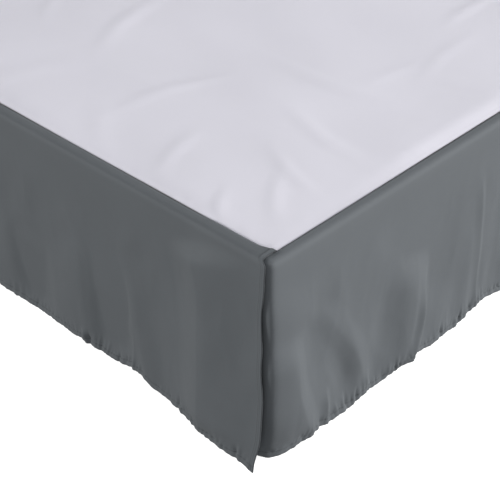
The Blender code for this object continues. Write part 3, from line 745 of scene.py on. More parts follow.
def foot_panel(folds, creases, hem, sizes, seed):
    """The cloth of the foot panel, wrapped round both corners of the base."""
    along = graded(SEAM_LENGTH + 2 * WRAP, sizes.fine_column, sizes.fine_until + WRAP, sizes.coarse_column)
    along = along - WRAP
    middle = SEAM_LENGTH / 2
    side = np.sign(along - middle)
    place = middle - np.abs(along - middle)
    arc_start = FOOT_INSET - BASE_CORNER
    arc_end = BASE_CORNER - SIDE_INSET
    turn = np.clip((place - arc_start) / (arc_end - arc_start), 0.0, 1.0) * math.pi / 2
    outward = np.column_stack([side * np.cos(turn), -np.sin(turn)])
    on_side = np.minimum(place - arc_start, 0.0)
    on_foot = np.maximum(place - arc_end, 0.0)
    shift = np.column_stack([-side * on_foot, -on_side])
    arc_y = np.full(len(along), BASE_CORNER - HALF_LENGTH)
    arc_centre = np.column_stack([side * (HALF_WIDTH - BASE_CORNER), arc_y])
    squared = (np.cos(turn) ** CORNER_CRISP + np.sin(turn) ** CORNER_CRISP) ** (-1.0 / CORNER_CRISP)
    push = BASE_CORNER * (squared - 1.0)
    edge = arc_centre + outward * (BASE_CORNER + push)[:, None] + shift
    seam_x = HALF_WIDTH - SIDE_INSET - PLATFORM_CORNER
    seam_centre = np.column_stack([side * seam_x, np.full(len(along), PLATFORM_LOW.y + PLATFORM_CORNER)])
    seam = seam_centre + outward * (PLATFORM_CORNER + SEAM_GAP)
    inner_shift = BASE_CORNER - FOOT_INSET - PLATFORM_CORNER
    seam[:, 1] += np.where(on_side < 0.0, inner_shift - on_side, 0.0)
    seam[:, 0] = np.where(on_foot > 0.0, edge[:, 0], seam[:, 0])
    on_wrap = np.maximum(-along, along - SEAM_LENGTH)
    shape = {
        "folds": folds,
        "creases": creases,
        "hem": hem,
        "rounds": push * CORNER_ROUNDS,
        "flare": WRAP_FLARE * (1.0 - smooth_step(on_wrap, -0.02, 0.02)),
        "seed": seed,
        "drift": sizes.drift,
        "crumple": sizes.crumple,
        "edge_crisp": FOOT_EDGE_CRISP,
    }
    return hang_cloth(along, seam, edge, outward, shape)


Wrinkle = namedtuple("Wrinkle", "start end half_width height")

# Wrinkles of the platform sheet near the corner that is seen most: their two ends and half width in plan
PLATFORM_WRINKLES = (
    Wrinkle((-0.742, -0.905), (-0.660, -0.840), 0.010, 0.0016),
    Wrinkle((-0.700, -0.980), (-0.560, -0.860), 0.016, 0.0012),
    Wrinkle((-0.600, -0.990), (-0.520, -0.780), 0.014, 0.0012),
    Wrinkle((-0.735, -0.760), (-0.560, -0.700), 0.018, 0.0011),
    Wrinkle((-0.480, -0.985), (-0.420, -0.720), 0.020, 0.0013),
    Wrinkle((-0.690, -0.560), (-0.380, -0.640), 0.022, 0.0012),
    Wrinkle((-0.280, -0.960), (-0.330, -0.560), 0.024, 0.0014),
    Wrinkle((-0.560, -0.420), (-0.250, -0.300), 0.026, 0.0014),
)
# Wrinkles that lie scattered over the rest of the sheet: how many, and how far they reach across and along it
LOOSE_WRINKLES = 46
LOOSE_ACROSS = (-0.68, 0.68)
LOOSE_ALONG = (-0.93, 0.95)

# The sheet's slight waves: their length and direction, and the rise of one a metre long
Wave = namedtuple("Wave", "length angle")
PLATFORM_WAVES = (Wave(0.62, 0.5), Wave(0.41, 1.9), Wave(0.29, 1.1), Wave(0.19, 2.6), Wave(0.13, 0.1))
WAVE_RISE = 0.0016


def platform_height(x, y, sizes):
    """How far the laid sheet stands over its solid's place: wrinkles and slight waves, never below it."""
    random = np.random.default_rng(WRINKLE_SEED)
    rise = np.zeros(x.shape)
    wrinkles = list(PLATFORM_WRINKLES)
    for _ in range(LOOSE_WRINKLES):
        centre = np.array((random.uniform(*LOOSE_ACROSS), random.uniform(*LOOSE_ALONG)))
        turn = random.normal(0.8, 0.7)
        reach = random.uniform(0.06, 0.20) * np.array((math.cos(turn), math.sin(turn)))
        wrinkles.append(Wrinkle(centre - reach, centre + reach, random.uniform(0.012, 0.034),
                                random.uniform(0.0004, 0.0013)))
    for wrinkle in wrinkles:
        low = np.array(wrinkle.start)
        run = np.array(wrinkle.end) - low
        length = math.hypot(*run)
        share = ((x - low[0]) * run[0] + (y - low[1]) * run[1]) / length ** 2
        bow = 0.08 * length * np.sin(math.pi * share)
        across = ((x - low[0]) * run[1] - (y - low[1]) * run[0]) / length + bow
        rise += wrinkle.height * hump(across / wrinkle.half_width) * hump(2.0 * share - 1.0)
    for length, angle in PLATFORM_WAVES:
        place = x * math.cos(angle) + y * math.sin(angle) + 0.05 * np.sin(x * 7.0 + angle) * np.cos(y * 5.0)
        rise += WAVE_RISE * length * (1.0 + np.sin(2.0 * math.pi * place / length + 5.0 * angle))
    return rise * sizes.wrinkle_scale


# The gathers along the platform's seams: their lengths, their depth and how far in from the edge they run
GATHER_LENGTHS = (0.011, 0.017, 0.027, 0.043)
GATHER_DEPTH = 0.00022
GATHER_REACH = 0.042


def seam_puckers(place, from_edge, seed):
    """The slight gathers that sewing leaves in a sheet along its edge."""
    random = np.random.default_rng(seed)
    ripple = np.zeros(place.shape)
    for length in GATHER_LENGTHS:
        phase = random.uniform(0.0, 2.0 * math.pi)
        slant = random.uniform(-0.5, 0.5)
        swell = 0.5 + 0.5 * np.sin(2.0 * math.pi * place / (length * 5.3) + 3.0 * phase)
        ripple += swell * np.sin(2.0 * math.pi * (place + slant * from_edge) / length + phase)
    return GATHER_DEPTH * (ripple + 1.5) * hump(from_edge / GATHER_REACH) * smooth_step(from_edge, 0.0, 0.004)


# Places of the platform's fine rows, as distances from its edge
MARGIN = (0.0, 0.0004, 0.0009, 0.0016, 0.0028, 0.0048, 0.0080, 0.0105, 0.0120, 0.0135, 0.0180)


def edge_rows(low, high, step):
    """Places across a sheet, fine at both edges."""
    count = round((high - low - 2 * MARGIN[-1]) / step)
    inside = [mix(low + MARGIN[-1], high - MARGIN[-1], i / count) for i in range(1, count)]
    return np.array([low + m for m in MARGIN] + inside + [high - m for m in reversed(MARGIN)])


def platform_faces(sizes):
    """The two faces of the platform sheet, its rounded corners, seam edges and the hem at its head."""
    x_places = edge_rows(PLATFORM_LOW.x, PLATFORM_HIGH.x, sizes.platform_grid)
    y_places = edge_rows(PLATFORM_LOW.y, PLATFORM_HIGH.y, sizes.platform_grid)
    x, y = np.meshgrid(x_places, y_places, indexing="ij")
    centre_x = np.sign(x) * (PLATFORM_HIGH.x - PLATFORM_CORNER)
    centre_y = np.where(y < 0.0, PLATFORM_LOW.y + PLATFORM_CORNER, PLATFORM_HIGH.y - PLATFORM_CORNER)
    a = (x - centre_x) / PLATFORM_CORNER * np.sign(x)
    b = (y - centre_y) / PLATFORM_CORNER * np.sign(y)
    in_corner = (a > 0.0) & (b > 0.0)
    round_x = centre_x + np.sign(x) * PLATFORM_CORNER * a * np.sqrt(np.clip(1.0 - b * b / 2.0, 0.0, 1.0))
    round_y = centre_y + np.sign(y) * PLATFORM_CORNER * b * np.sqrt(np.clip(1.0 - a * a / 2.0, 0.0, 1.0))
    from_side = np.minimum(x - PLATFORM_LOW.x, PLATFORM_HIGH.x - x)
    from_foot = y - PLATFORM_LOW.y
    from_head = PLATFORM_HIGH.y - y
    from_seam = np.minimum(from_side, from_foot)
    calm = smooth_step(np.minimum(from_seam, from_head), 0.0, 0.03)
    rise = platform_height(x, y, sizes) * mix(0.25, 1.0, calm)
    rise += seam_puckers(y, from_side, SIDE_SEAM_SEED) + seam_puckers(x, from_foot, FOOT_SEAM_SEED)
    sewn = np.exp(-(from_seam / SEAM_DIP_WIDTH) ** 2)
    height = BASE_TOP + LAID + rise - 0.0005 * sewn
    middle = np.stack([np.where(in_corner, round_x, x), np.where(in_corner, round_y, y), height], axis=-1)
    normal = surface_normals(middle)
    stitched = groove(from_head, PLATFORM_STITCH, STITCH_GROOVE)
    doubled = 1.0 - smooth_step(from_head, 0.0120, 0.0135)
    half = sizes.platform_cloth / 2
    upper = half + 0.6 * sizes.platform_cloth * doubled - 0.5 * sizes.platform_cloth * stitched
    lower = half * np.ones(upper.shape)
    nearest = np.minimum(from_seam, from_head)
    ring = np.sqrt(np.clip(1.0 - (1.0 - np.clip(nearest / sizes.platform_cloth, 0.0, 1.0)) ** 2, 0.04, 1.0))
    # Painted shade: the cloth's colour is darkened along the sewn seams and the head hem's stitching
    worked = np.clip(sewn + 0.5 * stitched, 0.0, 1.0)
    return middle + normal * (upper * ring)[..., None], middle - normal * (lower * ring)[..., None], worked


def ring_points(x_half, y_half, radius, steps):
    """The outline of a rounded rectangle round the origin, anticlockwise from its lower right."""
    outline = []
    for x_sign, y_sign, start in ((1, -1, -90.0), (1, 1, 0.0), (-1, 1, 90.0), (-1, -1, 180.0)):
        for step in range(steps + 1):
            angle = math.radians(start + 90.0 * step / steps)
            x = x_sign * (x_half - radius) + radius * math.cos(angle)
            y = y_sign * (y_half - radius) + radius * math.sin(angle)
            outline.append((x, y))
    return outline


def lofted(name, rings):
    """A closed body through rings of equal length, with a face on each end."""
    bm = bmesh.new()
    loops = [[bm.verts.new(point) for point in ring] for ring in rings]
    count = len(loops[0])
    for low, high in zip(loops, loops[1:]):
        for i in range(count):
            j = (i + 1) % count
            bm.faces.new((low[i], low[j], high[j], high[i]))
    bm.faces.new(list(reversed(loops[0])))
    bm.faces.new(loops[-1])
    bmesh.ops.recalc_face_normals(bm, faces=bm.faces)
    mesh = bpy.data.meshes.new(name)
    bm.to_mesh(mesh)
    bm.free()
    mesh.shade_smooth()
    mesh.set_sharp_from_angle(angle=math.radians(35.0))
    return mesh


# The base's cover: its rounded bottom edge, and how far its two seams lie from its edges
BOTTOM_EDGE = 0.006
LOW_SEAM_UP = 0.018
HIGH_SEAM_DOWN = 0.012

# The groove of such a seam: places across it and shares of its depth
SeamLevel = namedtuple("SeamLevel", "offset depth")
SEAM_LEVELS = (
    SeamLevel(-0.0030, 0.0), SeamLevel(-0.0012, 0.4), SeamLevel(0.0, 1.0), SeamLevel(0.0012, 0.4),
    SeamLevel(0.0030, 0.0),
)


def base_mesh(name, sizes):
    """The covered box: rounded corners and edges, a seam round its top and a tacked edge round its bottom."""
    levels = []
    for step in range(5):
        turn = math.radians(90.0 * step / 4)
        rise = BOTTOM_EDGE * (1.0 - math.cos(turn))
        levels.append((BOTTOM_EDGE * (1.0 - math.sin(turn)), BASE_BOTTOM + rise))
    top_start = BASE_TOP - BASE_EDGE
    seams = (BASE_BOTTOM + LOW_SEAM_UP, top_start - HIGH_SEAM_DOWN)
    inner = []
    for seam in seams:
        for offset, depth in SEAM_LEVELS:
            inner.append((sizes.base_seam * depth, seam + offset))
    for share in (0.2, 0.4, 0.6, 0.8):
        inner.append((0.0, mix(seams[0] + SEAM_LEVELS[-1].offset, seams[1] + SEAM_LEVELS[0].offset, share)))
    levels += sorted(inner, key=lambda level: level[1])
    for step in range(9):
        turn = math.radians(90.0 * step / 8)
        levels.append((BASE_EDGE * (1.0 - math.cos(turn)), top_start + BASE_EDGE * math.sin(turn)))
    rings = []
    for inset, z in levels:
        outline = ring_points(HALF_WIDTH - inset, HALF_LENGTH - inset, BASE_CORNER - inset, 10)
        rings.append([(x, y, z) for x, y in outline])
    return lofted(name, rings)


LEG_FOOT_RADIUS = 0.022
LegLevel = namedtuple("LegLevel", "share radius")

# Outline of a moulded leg: shares of its height, and of the way from its foot's radius to its top's
LEG_LEVELS = (
    LegLevel(0.000, -0.55), LegLevel(0.000, -0.30), LegLevel(0.008, -0.14), LegLevel(0.030, -0.06),
    LegLevel(0.034, -0.30), LegLevel(0.046, -0.30), LegLevel(0.050, -0.04), LegLevel(0.060, 0.04),
    LegLevel(0.300, 0.27), LegLevel(0.600, 0.56), LegLevel(0.900, 0.86), LegLevel(0.925, 0.90),
    LegLevel(0.932, 0.78), LegLevel(0.944, 0.78), LegLevel(0.952, 0.98), LegLevel(0.990, 1.00),
    LegLevel(1.000, 0.94),
)


def leg_mesh(name):
    """One turned leg on the origin, its sizes taken from a leg of the frame."""
    low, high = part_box("leg_left_front")
    top_radius = (high.x - low.x) / 2
    turns = [2.0 * math.pi * i / 48 for i in range(48)]
    rings = []
    for level in LEG_LEVELS:
        radius = mix(LEG_FOOT_RADIUS, top_radius, level.radius)
        z = level.share * (high.z - low.z)
        rings.append([(radius * math.cos(a), radius * math.sin(a), z) for a in turns])
    return lofted(name, rings)


class Wire:
    """A node's output or a number in a material, so that shader maths reads as Python."""

    def __init__(self, finish, socket):
        self.finish = finish
        self.socket = socket

    def maths(self, operation, *values):
        inputs = dict(enumerate(values))
        return self.finish.node("ShaderNodeMath", {"operation": operation}, inputs)

    def __add__(self, other):
        return self.maths("ADD", self, other)

    def __sub__(self, other):
        return self.maths("SUBTRACT", self, other)

    def __rsub__(self, other):
        return self.maths("SUBTRACT", other, self)

    def __mul__(self, other):
        return self.maths("MULTIPLY", self, other)

    def __truediv__(self, other):
        return self.maths("DIVIDE", self, other)

    def __pow__(self, other):
        return self.maths("POWER", self, other)

    __radd__ = __add__
    __rmul__ = __mul__


class Finish:
    """A material under construction, around one Principled shader."""

    def __init__(self, name, **constants):
        self.material = bpy.data.materials.new(name)
        self.material.use_nodes = True
        self.tree = self.material.node_tree
        self.shader = self.tree.nodes["Principled BSDF"]
        for socket, value in constants.items():
            self.shader.inputs[socket.replace("_", " ")].default_value = value

    def node(self, kind, settings=None, inputs=None, output=0):
        """Adds a node: its settings first, a ramp's stops too, then the values or links of its sockets."""
        made = self.tree.nodes.new(kind)
        for name, value in (settings or {}).items():
            if name == "stops":
                self.set_stops(made.color_ramp, value)
            else:
                setattr(made, name, value)
        for key, value in (inputs or {}).items():
            self.plug(value, made.inputs[key])
        return Wire(self, made.outputs[output])

    def set_stops(self, ramp, stops):
        while len(ramp.elements) > 1:
            ramp.elements.remove(ramp.elements[-1])
        for number, (place, colour) in enumerate(stops):
            stop = ramp.elements[0] if number == 0 else ramp.elements.new(place)
            stop.position = place
            stop.color = colour

    def plug(self, value, socket):
        if isinstance(value, Wire):
            self.tree.links.new(value.socket, socket)
        elif isinstance(value, (int, float)):
            socket.default_value = value
        else:
            value = tuple(value)
            socket.default_value = value if len(value) == len(socket.default_value) else (*value, 1.0)

    def feed(self, socket, value):
        self.plug(value, self.shader.inputs[socket])

    def object_place(self):
        return self.node("ShaderNodeTexCoord", output="Object")

    def cloth_place(self):
        """Metres along and down the sheet."""
        return self.node("ShaderNodeUVMap", {"uv_map": "ClothMap"})

    def scaled(self, place, scale):
        return self.node("ShaderNodeMapping", {"vector_type": "POINT"}, {"Vector": place, "Scale": scale})

    def noise(self, place, scale, detail=2.0, roughness=0.5):
        inputs = {"Vector": place, "Scale": scale, "Detail": detail, "Roughness": roughness}
        return self.node("ShaderNodeTexNoise", {}, inputs, output="Fac")

    def part(self, vector, axis):
        return self.node("ShaderNodeSeparateXYZ", {}, {"Vector": vector}, output=axis)

    def blend(self, share, low, high):
        """A colour between two others."""
        settings = {"data_type": "RGBA", "blend_type": "MIX"}
        return self.node("ShaderNodeMix", settings, {0: share, 6: low, 7: high}, output=2)

    def bump(self, height, strength, distance):
        inputs = {"Height": height, "Strength": strength, "Distance": distance}
        self.feed("Normal", self.node("ShaderNodeBump", {}, inputs))


def shade(colour, factor):
    return tuple(channel * factor for channel in colour)


# Distance from thread to thread in the three cloths
SKIRT_WEAVE = 0.00042
PLATFORM_WEAVE = 0.00050
BASE_WEAVE = 0.0011


def plain_weave(across, down, pitch):
    """Height of a plain weave: warp and weft cross over and under each other."""
    warp = across * (math.pi / pitch)
    weft = down * (math.pi / pitch)
    warp = warp.maths("SINE", warp)
    weft = weft.maths("SINE", weft)
    return (warp.maths("ABSOLUTE", warp) + weft.maths("ABSOLUTE", weft) + warp * weft) * 0.4


def skirt_microfibre(colours):
    """Brushed microfibre: soft sheen, a fine weave, faint slubs and a slightly cloudy dye."""
    finish = Finish("skirt_microfibre", Sheen_Weight=0.06, Sheen_Roughness=0.45, IOR=1.5,
                    Specular_IOR_Level=0.3)
    place = finish.cloth_place()
    weave = plain_weave(finish.part(place, "X"), finish.part(place, "Y"), SKIRT_WEAVE)
    slubs = finish.noise(finish.scaled(place, (60.0, 1400.0, 1.0)), 1.0, 2.0)
    ends = finish.noise(finish.scaled(place, (1400.0, 45.0, 1.0)), 1.0, 2.0)
    nap = finish.noise(finish.object_place(), 900.0, 3.0)
    cloud = finish.noise(finish.object_place(), 9.0, 3.0, 0.6)
    worked = finish.node("ShaderNodeAttribute", {"attribute_name": "worked"}, output="Fac")
    tone = (cloud - 0.5) * 0.30 + (slubs - 0.5) * 0.22 + (ends - 0.5) * 0.16 + (nap - 0.5) * 0.10 + 0.5
    dyed = finish.blend(tone, shade(colours.skirt, 0.82), shade(colours.skirt, 1.18))
    # Painted shade: the mask darkens the dye to 30% at the stitching, the free ends and the top seam
    finish.feed("Base Color", finish.blend(worked * 0.8, dyed, shade(colours.skirt, 0.30)))
    finish.feed("Roughness", 0.76 + (nap - 0.5) * 0.10 + worked * 0.10)
    finish.bump(weave * 0.6 + slubs * 0.5 + nap * 0.5, 0.30, 0.00020)
    return finish.material


def twisted_thread(name, dark, light, roughness):
    """Sewing thread, a little shinier than the cloth, in two tones of its dye."""
    finish = Finish(name, Sheen_Weight=0.10)
    twist = finish.noise(finish.object_place(), 2600.0, 1.0)
    finish.feed("Base Color", finish.blend(twist, dark, light))
    finish.feed("Roughness", roughness + twist * 0.16)
    finish.bump(twist, 0.30, 0.00010)
    return finish.material


def skirt_thread(colours):
    """The dyed thread of the hems."""
    return twisted_thread("skirt_thread", shade(colours.skirt, 0.80), shade(colours.skirt, 1.25), 0.42)


def platform_weave(colours):
    """Thin white plain-woven polyester with faint slubs."""
    finish = Finish("platform_weave", Sheen_Weight=0.08, Sheen_Roughness=0.5, Specular_IOR_Level=0.30)
    place = finish.cloth_place()
    weave = plain_weave(finish.part(place, "X"), finish.part(place, "Y"), PLATFORM_WEAVE)
    slubs = finish.noise(finish.scaled(place, (1100.0, 38.0, 1.0)), 1.0, 2.0)
    cloud = finish.noise(finish.object_place(), 7.0, 4.0, 0.6)
    worked = finish.node("ShaderNodeAttribute", {"attribute_name": "worked"}, output="Fac")
    tone = (cloud - 0.5) * 0.5 + (slubs - 0.5) * 0.30 + 0.5
    dyed = finish.blend(tone, shade(colours.platform, 0.965), shade(colours.platform, 1.03))
    # Painted shade: the mask darkens the white to 55% along the seams and the head hem's stitching
    finish.feed("Base Color", finish.blend(worked * 0.7, dyed, shade(colours.platform, 0.55)))
    finish.feed("Roughness", 0.72 + (slubs - 0.5) * 0.12)
    finish.bump(weave * 0.6 + slubs * 0.7, 0.30, 0.00020)
    return finish.material


def platform_thread(colours):
    """The white thread of the platform's head hem."""
    dark = shade(colours.platform, 0.90)
    return twisted_thread("platform_thread", dark, shade(colours.platform, 1.05), 0.45)


def base_weave(colours):
    """The heavier plain weave stretched over the base."""
    finish = Finish("base_weave", Sheen_Weight=0.10, Sheen_Roughness=0.6)
    place = finish.object_place()
    across = finish.part(place, "X") + finish.part(place, "Y")
    weave = plain_weave(across, finish.part(place, "Z"), BASE_WEAVE)
    slubs = finish.noise(finish.scaled(place, (90.0, 90.0, 900.0)), 1.0, 3.0)
    cloud = finish.noise(place, 6.0, 3.0, 0.6)
    tone = (weave - 0.5) * 0.35 + (slubs - 0.5) * 0.5 + (cloud - 0.5) * 0.3 + 0.5
    finish.feed("Base Color", finish.blend(tone, shade(colours.base, 0.84), shade(colours.base, 1.14)))
    finish.feed("Roughness", 0.80 + (slubs - 0.5) * 0.15)
    finish.bump(weave * 0.8 + slubs * 0.6, 0.55, 0.0004)
    return finish.material


def moulded_leg(colours):
    """Black moulded plastic with a fine grain, rubbed smoother and paler low down."""
    finish = Finish("moulded_leg")
    place = finish.object_place()
    grain = finish.noise(place, 1500.0, 2.0)
    scuffs = finish.noise(finish.scaled(place, (40.0, 40.0, 220.0)), 1.0, 4.0, 0.65)
    low_down = 1.0 - finish.node("ShaderNodeMath", {"operation": "MULTIPLY", "use_clamp": True},
                                 {0: finish.part(place, "Z"), 1: 14.0})
    marked = scuffs * low_down
    finish.feed("Base Color", finish.blend(marked * 0.5, colours.leg, shade(colours.leg, 3.2)))
    finish.feed("Roughness", 0.44 + (grain - 0.5) * 0.12 - marked * 0.10)
    finish.bump(grain + scuffs * 0.5, 0.25, 0.00012)
    return finish.material


# How strongly the floor glows, as a light table does, and its radius, which keeps its edge out of every view
FLOOR_GLOW = 0.80
FLOOR_RADIUS = 90.0


def studio_floor(colours):
    finish = Finish("studio_floor")
    cloud = finish.noise(finish.object_place(), 1.3, 3.0)
    finish.feed("Base Color", finish.blend(cloud, shade(colours.floor, 0.985), colours.floor))
    finish.feed("Roughness", 0.9)
    finish.shader.inputs["Emission Color"].default_value = (1.0, 1.0, 1.0, 1.0)
    finish.shader.inputs["Emission Strength"].default_value = FLOOR_GLOW
    return finish.material


class NodeTree:
    """A Geometry Nodes tree under construction."""

    def __init__(self, name):
        self.tree = bpy.data.node_groups.new(name, "GeometryNodeTree")
        self.tree.is_modifier = True
        self.tree.interface.new_socket("Geometry", in_out="INPUT", socket_type="NodeSocketGeometry")
        self.tree.interface.new_socket("Geometry", in_out="OUTPUT", socket_type="NodeSocketGeometry")
        self.entry = self.tree.nodes.new("NodeGroupInput")
        self.exit = self.tree.nodes.new("NodeGroupOutput")

    def add_input(self, name, kind, default=None):
        socket = self.tree.interface.new_socket(name, in_out="INPUT", socket_type=kind)
        if default is not None:
            socket.default_value = default

    def given(self, name):
        return self.entry.outputs[name]

    def node(self, kind, settings=None, inputs=None):
        made = self.tree.nodes.new(kind)
        for name, value in (settings or {}).items():
            setattr(made, name, value)
        for key, value in (inputs or {}).items():
            if isinstance(value, bpy.types.NodeSocket):
                self.tree.links.new(value, made.inputs[key])
            else:
                made.inputs[key].default_value = value
        return made.outputs

    def finish(self, geometry):
        """Makes the instances real, gives them their material and ends the tree."""
        real = self.node("GeometryNodeRealizeInstances", {}, {"Geometry": geometry})
        smooth = self.node("GeometryNodeSetShadeSmooth", {}, {0: real[0]})
        values = {"Geometry": smooth[0], "Material": self.given("Material")}
        coloured = self.node("GeometryNodeSetMaterial", {}, values)
        self.tree.links.new(coloured[0], self.exit.inputs["Geometry"])
        return self.tree


def stitch_tree():
    """Stitches laid end to end along the lines of the mesh it is given."""
    nodes = NodeTree("Stitches")
    nodes.add_input("Pitch", "NodeSocketFloat", 0.003)
    nodes.add_input("Stitch Length", "NodeSocketFloat", 0.0024)
    nodes.add_input("Thread", "NodeSocketFloat", 0.0004)
    nodes.add_input("Material", "NodeSocketMaterial")
    line = nodes.node("GeometryNodeMeshToCurve", {}, {"Mesh": nodes.given("Geometry")})
    spacing = {"Curve": line[0], "Length": nodes.given("Pitch")}
    spaced = nodes.node("GeometryNodeResampleCurve", {"mode": "LENGTH"}, spacing)
    bead = nodes.node("GeometryNodeMeshUVSphere", {}, {"Segments": 6, "Rings": 4, "Radius": 0.5})
    sides = {"X": nodes.given("Stitch Length"), "Y": nodes.given("Thread"), "Z": nodes.given("Thread")}
    size = nodes.node("ShaderNodeCombineXYZ", {}, sides)
    tangent = nodes.node("GeometryNodeInputTangent")
    turned = nodes.node("FunctionNodeAlignRotationToVector", {"axis": "X"}, {"Vector": tangent[0]})
    placed = nodes.node("GeometryNodeInstanceOnPoints", {}, {"Points": spaced[0], "Instance": bead[0],
                                                            "Rotation": turned[0], "Scale": size[0]})
    return nodes.finish(placed[0])


def leg_tree():
    """A leg on every point of the mesh it is given."""
    nodes = NodeTree("Legs")
    nodes.add_input("Leg", "NodeSocketObject")
    nodes.add_input("Material", "NodeSocketMaterial")
    own_place = {"transform_space": "ORIGINAL"}
    leg = nodes.node("GeometryNodeObjectInfo", own_place, {"Object": nodes.given("Leg")})
    spots = {"Points": nodes.given("Geometry"), "Instance": leg["Geometry"]}
    placed = nodes.node("GeometryNodeInstanceOnPoints", {}, spots)
    return nodes.finish(placed[0])


def grown_piece(name, mesh, tree, values):
    """A plain mesh piece made by a Geometry Nodes tree from a guide mesh and its named inputs."""
    guide = add_piece(name + "_guide", mesh)
    modifier = guide.modifiers.new("Grow", "NODES")
    modifier.node_group = tree
    for item in tree.interface.items_tree:
        if item.item_type == "SOCKET" and item.in_out == "INPUT" and item.name in values:
            modifier[item.identifier] = values[item.name]
    bpy.context.view_layer.update()
    evaluated = guide.evaluated_get(bpy.context.evaluated_depsgraph_get())
    result = bpy.data.meshes.new_from_object(evaluated)
    guide.modifiers.remove(modifier)
    bpy.data.objects.remove(guide, do_unlink=True)
    result.name = name
    result.materials.clear()
    result.materials.append(values["Material"])
    result.polygons.foreach_set("material_index", np.zeros(len(result.polygons), np.int32))
    return add_piece(name, result)


def line_mesh(name, lines):
    """Open chains of edges through lists of points."""
    points = []
    edges = []
    for line in lines:
        start = len(points)
        points += [tuple(point) for point in line]
        edges += [(start + i, start + i + 1) for i in range(len(line) - 1)]
    mesh = bpy.data.meshes.new(name)
    mesh.from_pydata(points, edges, [])
    return mesh


def stitch_lines(outer, cloth, sizes):
    """The lines of a panel's stitching: along its hem and down its two hemmed ends."""
    row = int(np.argmin(np.abs(cloth.from_hem[0] - sizes.hem_stitch)))
    stitch = sizes.side_hem - END_STITCH_IN
    start = int(np.argmin(np.abs(cloth.from_start[:, 0] - stitch)))
    end = int(np.argmin(np.abs(cloth.from_end[:, 0] - stitch)))
    first = len(STRIP_ROWS)
    return [outer[start:end + 1, row], outer[start, first:row + 1], outer[end, first:row + 1]]


class SkirtSizes(bpy.types.PropertyGroup):
    """Sizes of the cloth, its hems and stitching."""

    cloth: FloatProperty(name="Cloth", description="Thickness of the grey cloth", default=0.0006,
                         unit="LENGTH")
    platform_cloth: FloatProperty(name="Platform cloth", description="Thickness of the white cloth",
                                  default=0.0005, unit="LENGTH")
    hem_depth: FloatProperty(name="Hem", description="Depth of the bottom hem", default=0.0125, unit="LENGTH")
    hem_stitch: FloatProperty(name="Hem stitching", description="Height of the stitches over the hem's edge",
                              default=0.0110, unit="LENGTH")
    side_hem: FloatProperty(name="End hem", description="Width of the hem at a free end", default=0.0090,
                            unit="LENGTH")
    stitch_dip: FloatProperty(name="Stitch dip", description="How far stitching draws the cloth in",
                              default=0.0003, unit="LENGTH")
    stitch_pitch: FloatProperty(name="Stitch pitch", description="Length from stitch to stitch",
                                default=0.0030, unit="LENGTH")
    stitch_length: FloatProperty(name="Stitch length", description="Length of one stitch", default=0.0025,
                                 unit="LENGTH")
    thread: FloatProperty(name="Thread", description="Thickness of the thread", default=0.0004, unit="LENGTH")
    pucker_depth: FloatProperty(name="Pucker depth", description="Depth of the ripples along the hem",
                                default=0.0034, unit="LENGTH")
    tick_depth: FloatProperty(name="Hem pinches", description="Depth of the pinches between hem stitches",
                              default=0.0014, unit="LENGTH")
    hem_roll: FloatProperty(name="Hem roll", description="How far a hem bulges between its stitches and edge",
                            default=0.0007, unit="LENGTH")
    drift: FloatProperty(name="Unevenness", description="Scale of the slight long waves of the panels",
                         default=0.0055, min=0.0, subtype="FACTOR")
    crumple: FloatProperty(name="Crumple", description="Depth of the faint creases of wear", default=0.0027,
                           unit="LENGTH")
    wrinkle_scale: FloatProperty(name="Wrinkles", description="Scale of the wrinkles of the platform sheet",
                                 default=1.6, min=0.0, subtype="FACTOR")
    fine_column: FloatProperty(name="Fine column", description="Mesh spacing near the corner seen most",
                               default=0.0020, unit="LENGTH")
    coarse_column: FloatProperty(name="Coarse column", description="Mesh spacing elsewhere", default=0.0050,
                                 unit="LENGTH")
    fine_until: FloatProperty(name="Fine until", description="How far along a panel its fine columns run",
                              default=0.560, unit="LENGTH")
    platform_grid: FloatProperty(name="Platform grid", description="Mesh spacing of the platform sheet",
                                 default=0.0092, unit="LENGTH")
    base_seam: FloatProperty(name="Base seam", description="Depth of the seams of the base's cover",
                             default=0.0012, unit="LENGTH")


def colour_property(name, description, default):
    return FloatVectorProperty(name=name, description=description, default=default, subtype="COLOR", size=3,
                               min=0.0, max=1.0)


class SkirtColours(bpy.types.PropertyGroup):
    """Colours of the cloths, the base and the floor."""

    skirt: colour_property("Skirt", "Dye of the drop panels", (0.126, 0.139, 0.1505))
    platform: colour_property("Platform", "Colour of the platform sheet", (0.82, 0.81, 0.89))
    base: colour_property("Base cover", "Colour of the base's cover", (0.52, 0.51, 0.50))
    leg: colour_property("Legs", "Colour of the moulded legs", (0.025, 0.025, 0.027))
    floor: colour_property("Floor", "Colour of the studio floor", (0.93, 0.93, 0.93))


class StudioSettings(bpy.types.PropertyGroup):
    """Camera and lights."""

    lens: FloatProperty(name="Lens", description="Focal length in millimetres", default=93.6)
    side_power: FloatProperty(name="Side light", description="Power of the light from the left in watts",
                              default=800.0)
    front_power: FloatProperty(name="Front light", description="Power of the light from the foot in watts",
                               default=575.0)
    fill_power: FloatProperty(name="Fill light", description="Power of the light near the camera in watts",
                              default=64.0)
    top_power: FloatProperty(name="Top light", description="Power of the top light in watts", default=12.0)
    surround: FloatProperty(name="Surround", description="Strength of the even white surround", default=0.19)


def settings():
    return bpy.context.scene.bed_skirt_sizes, bpy.context.scene.bed_skirt_colours


def finished(make):
    """The material that a function makes, once, under the function's own name."""
    return bpy.data.materials.get(make.__name__) or make(settings()[1])


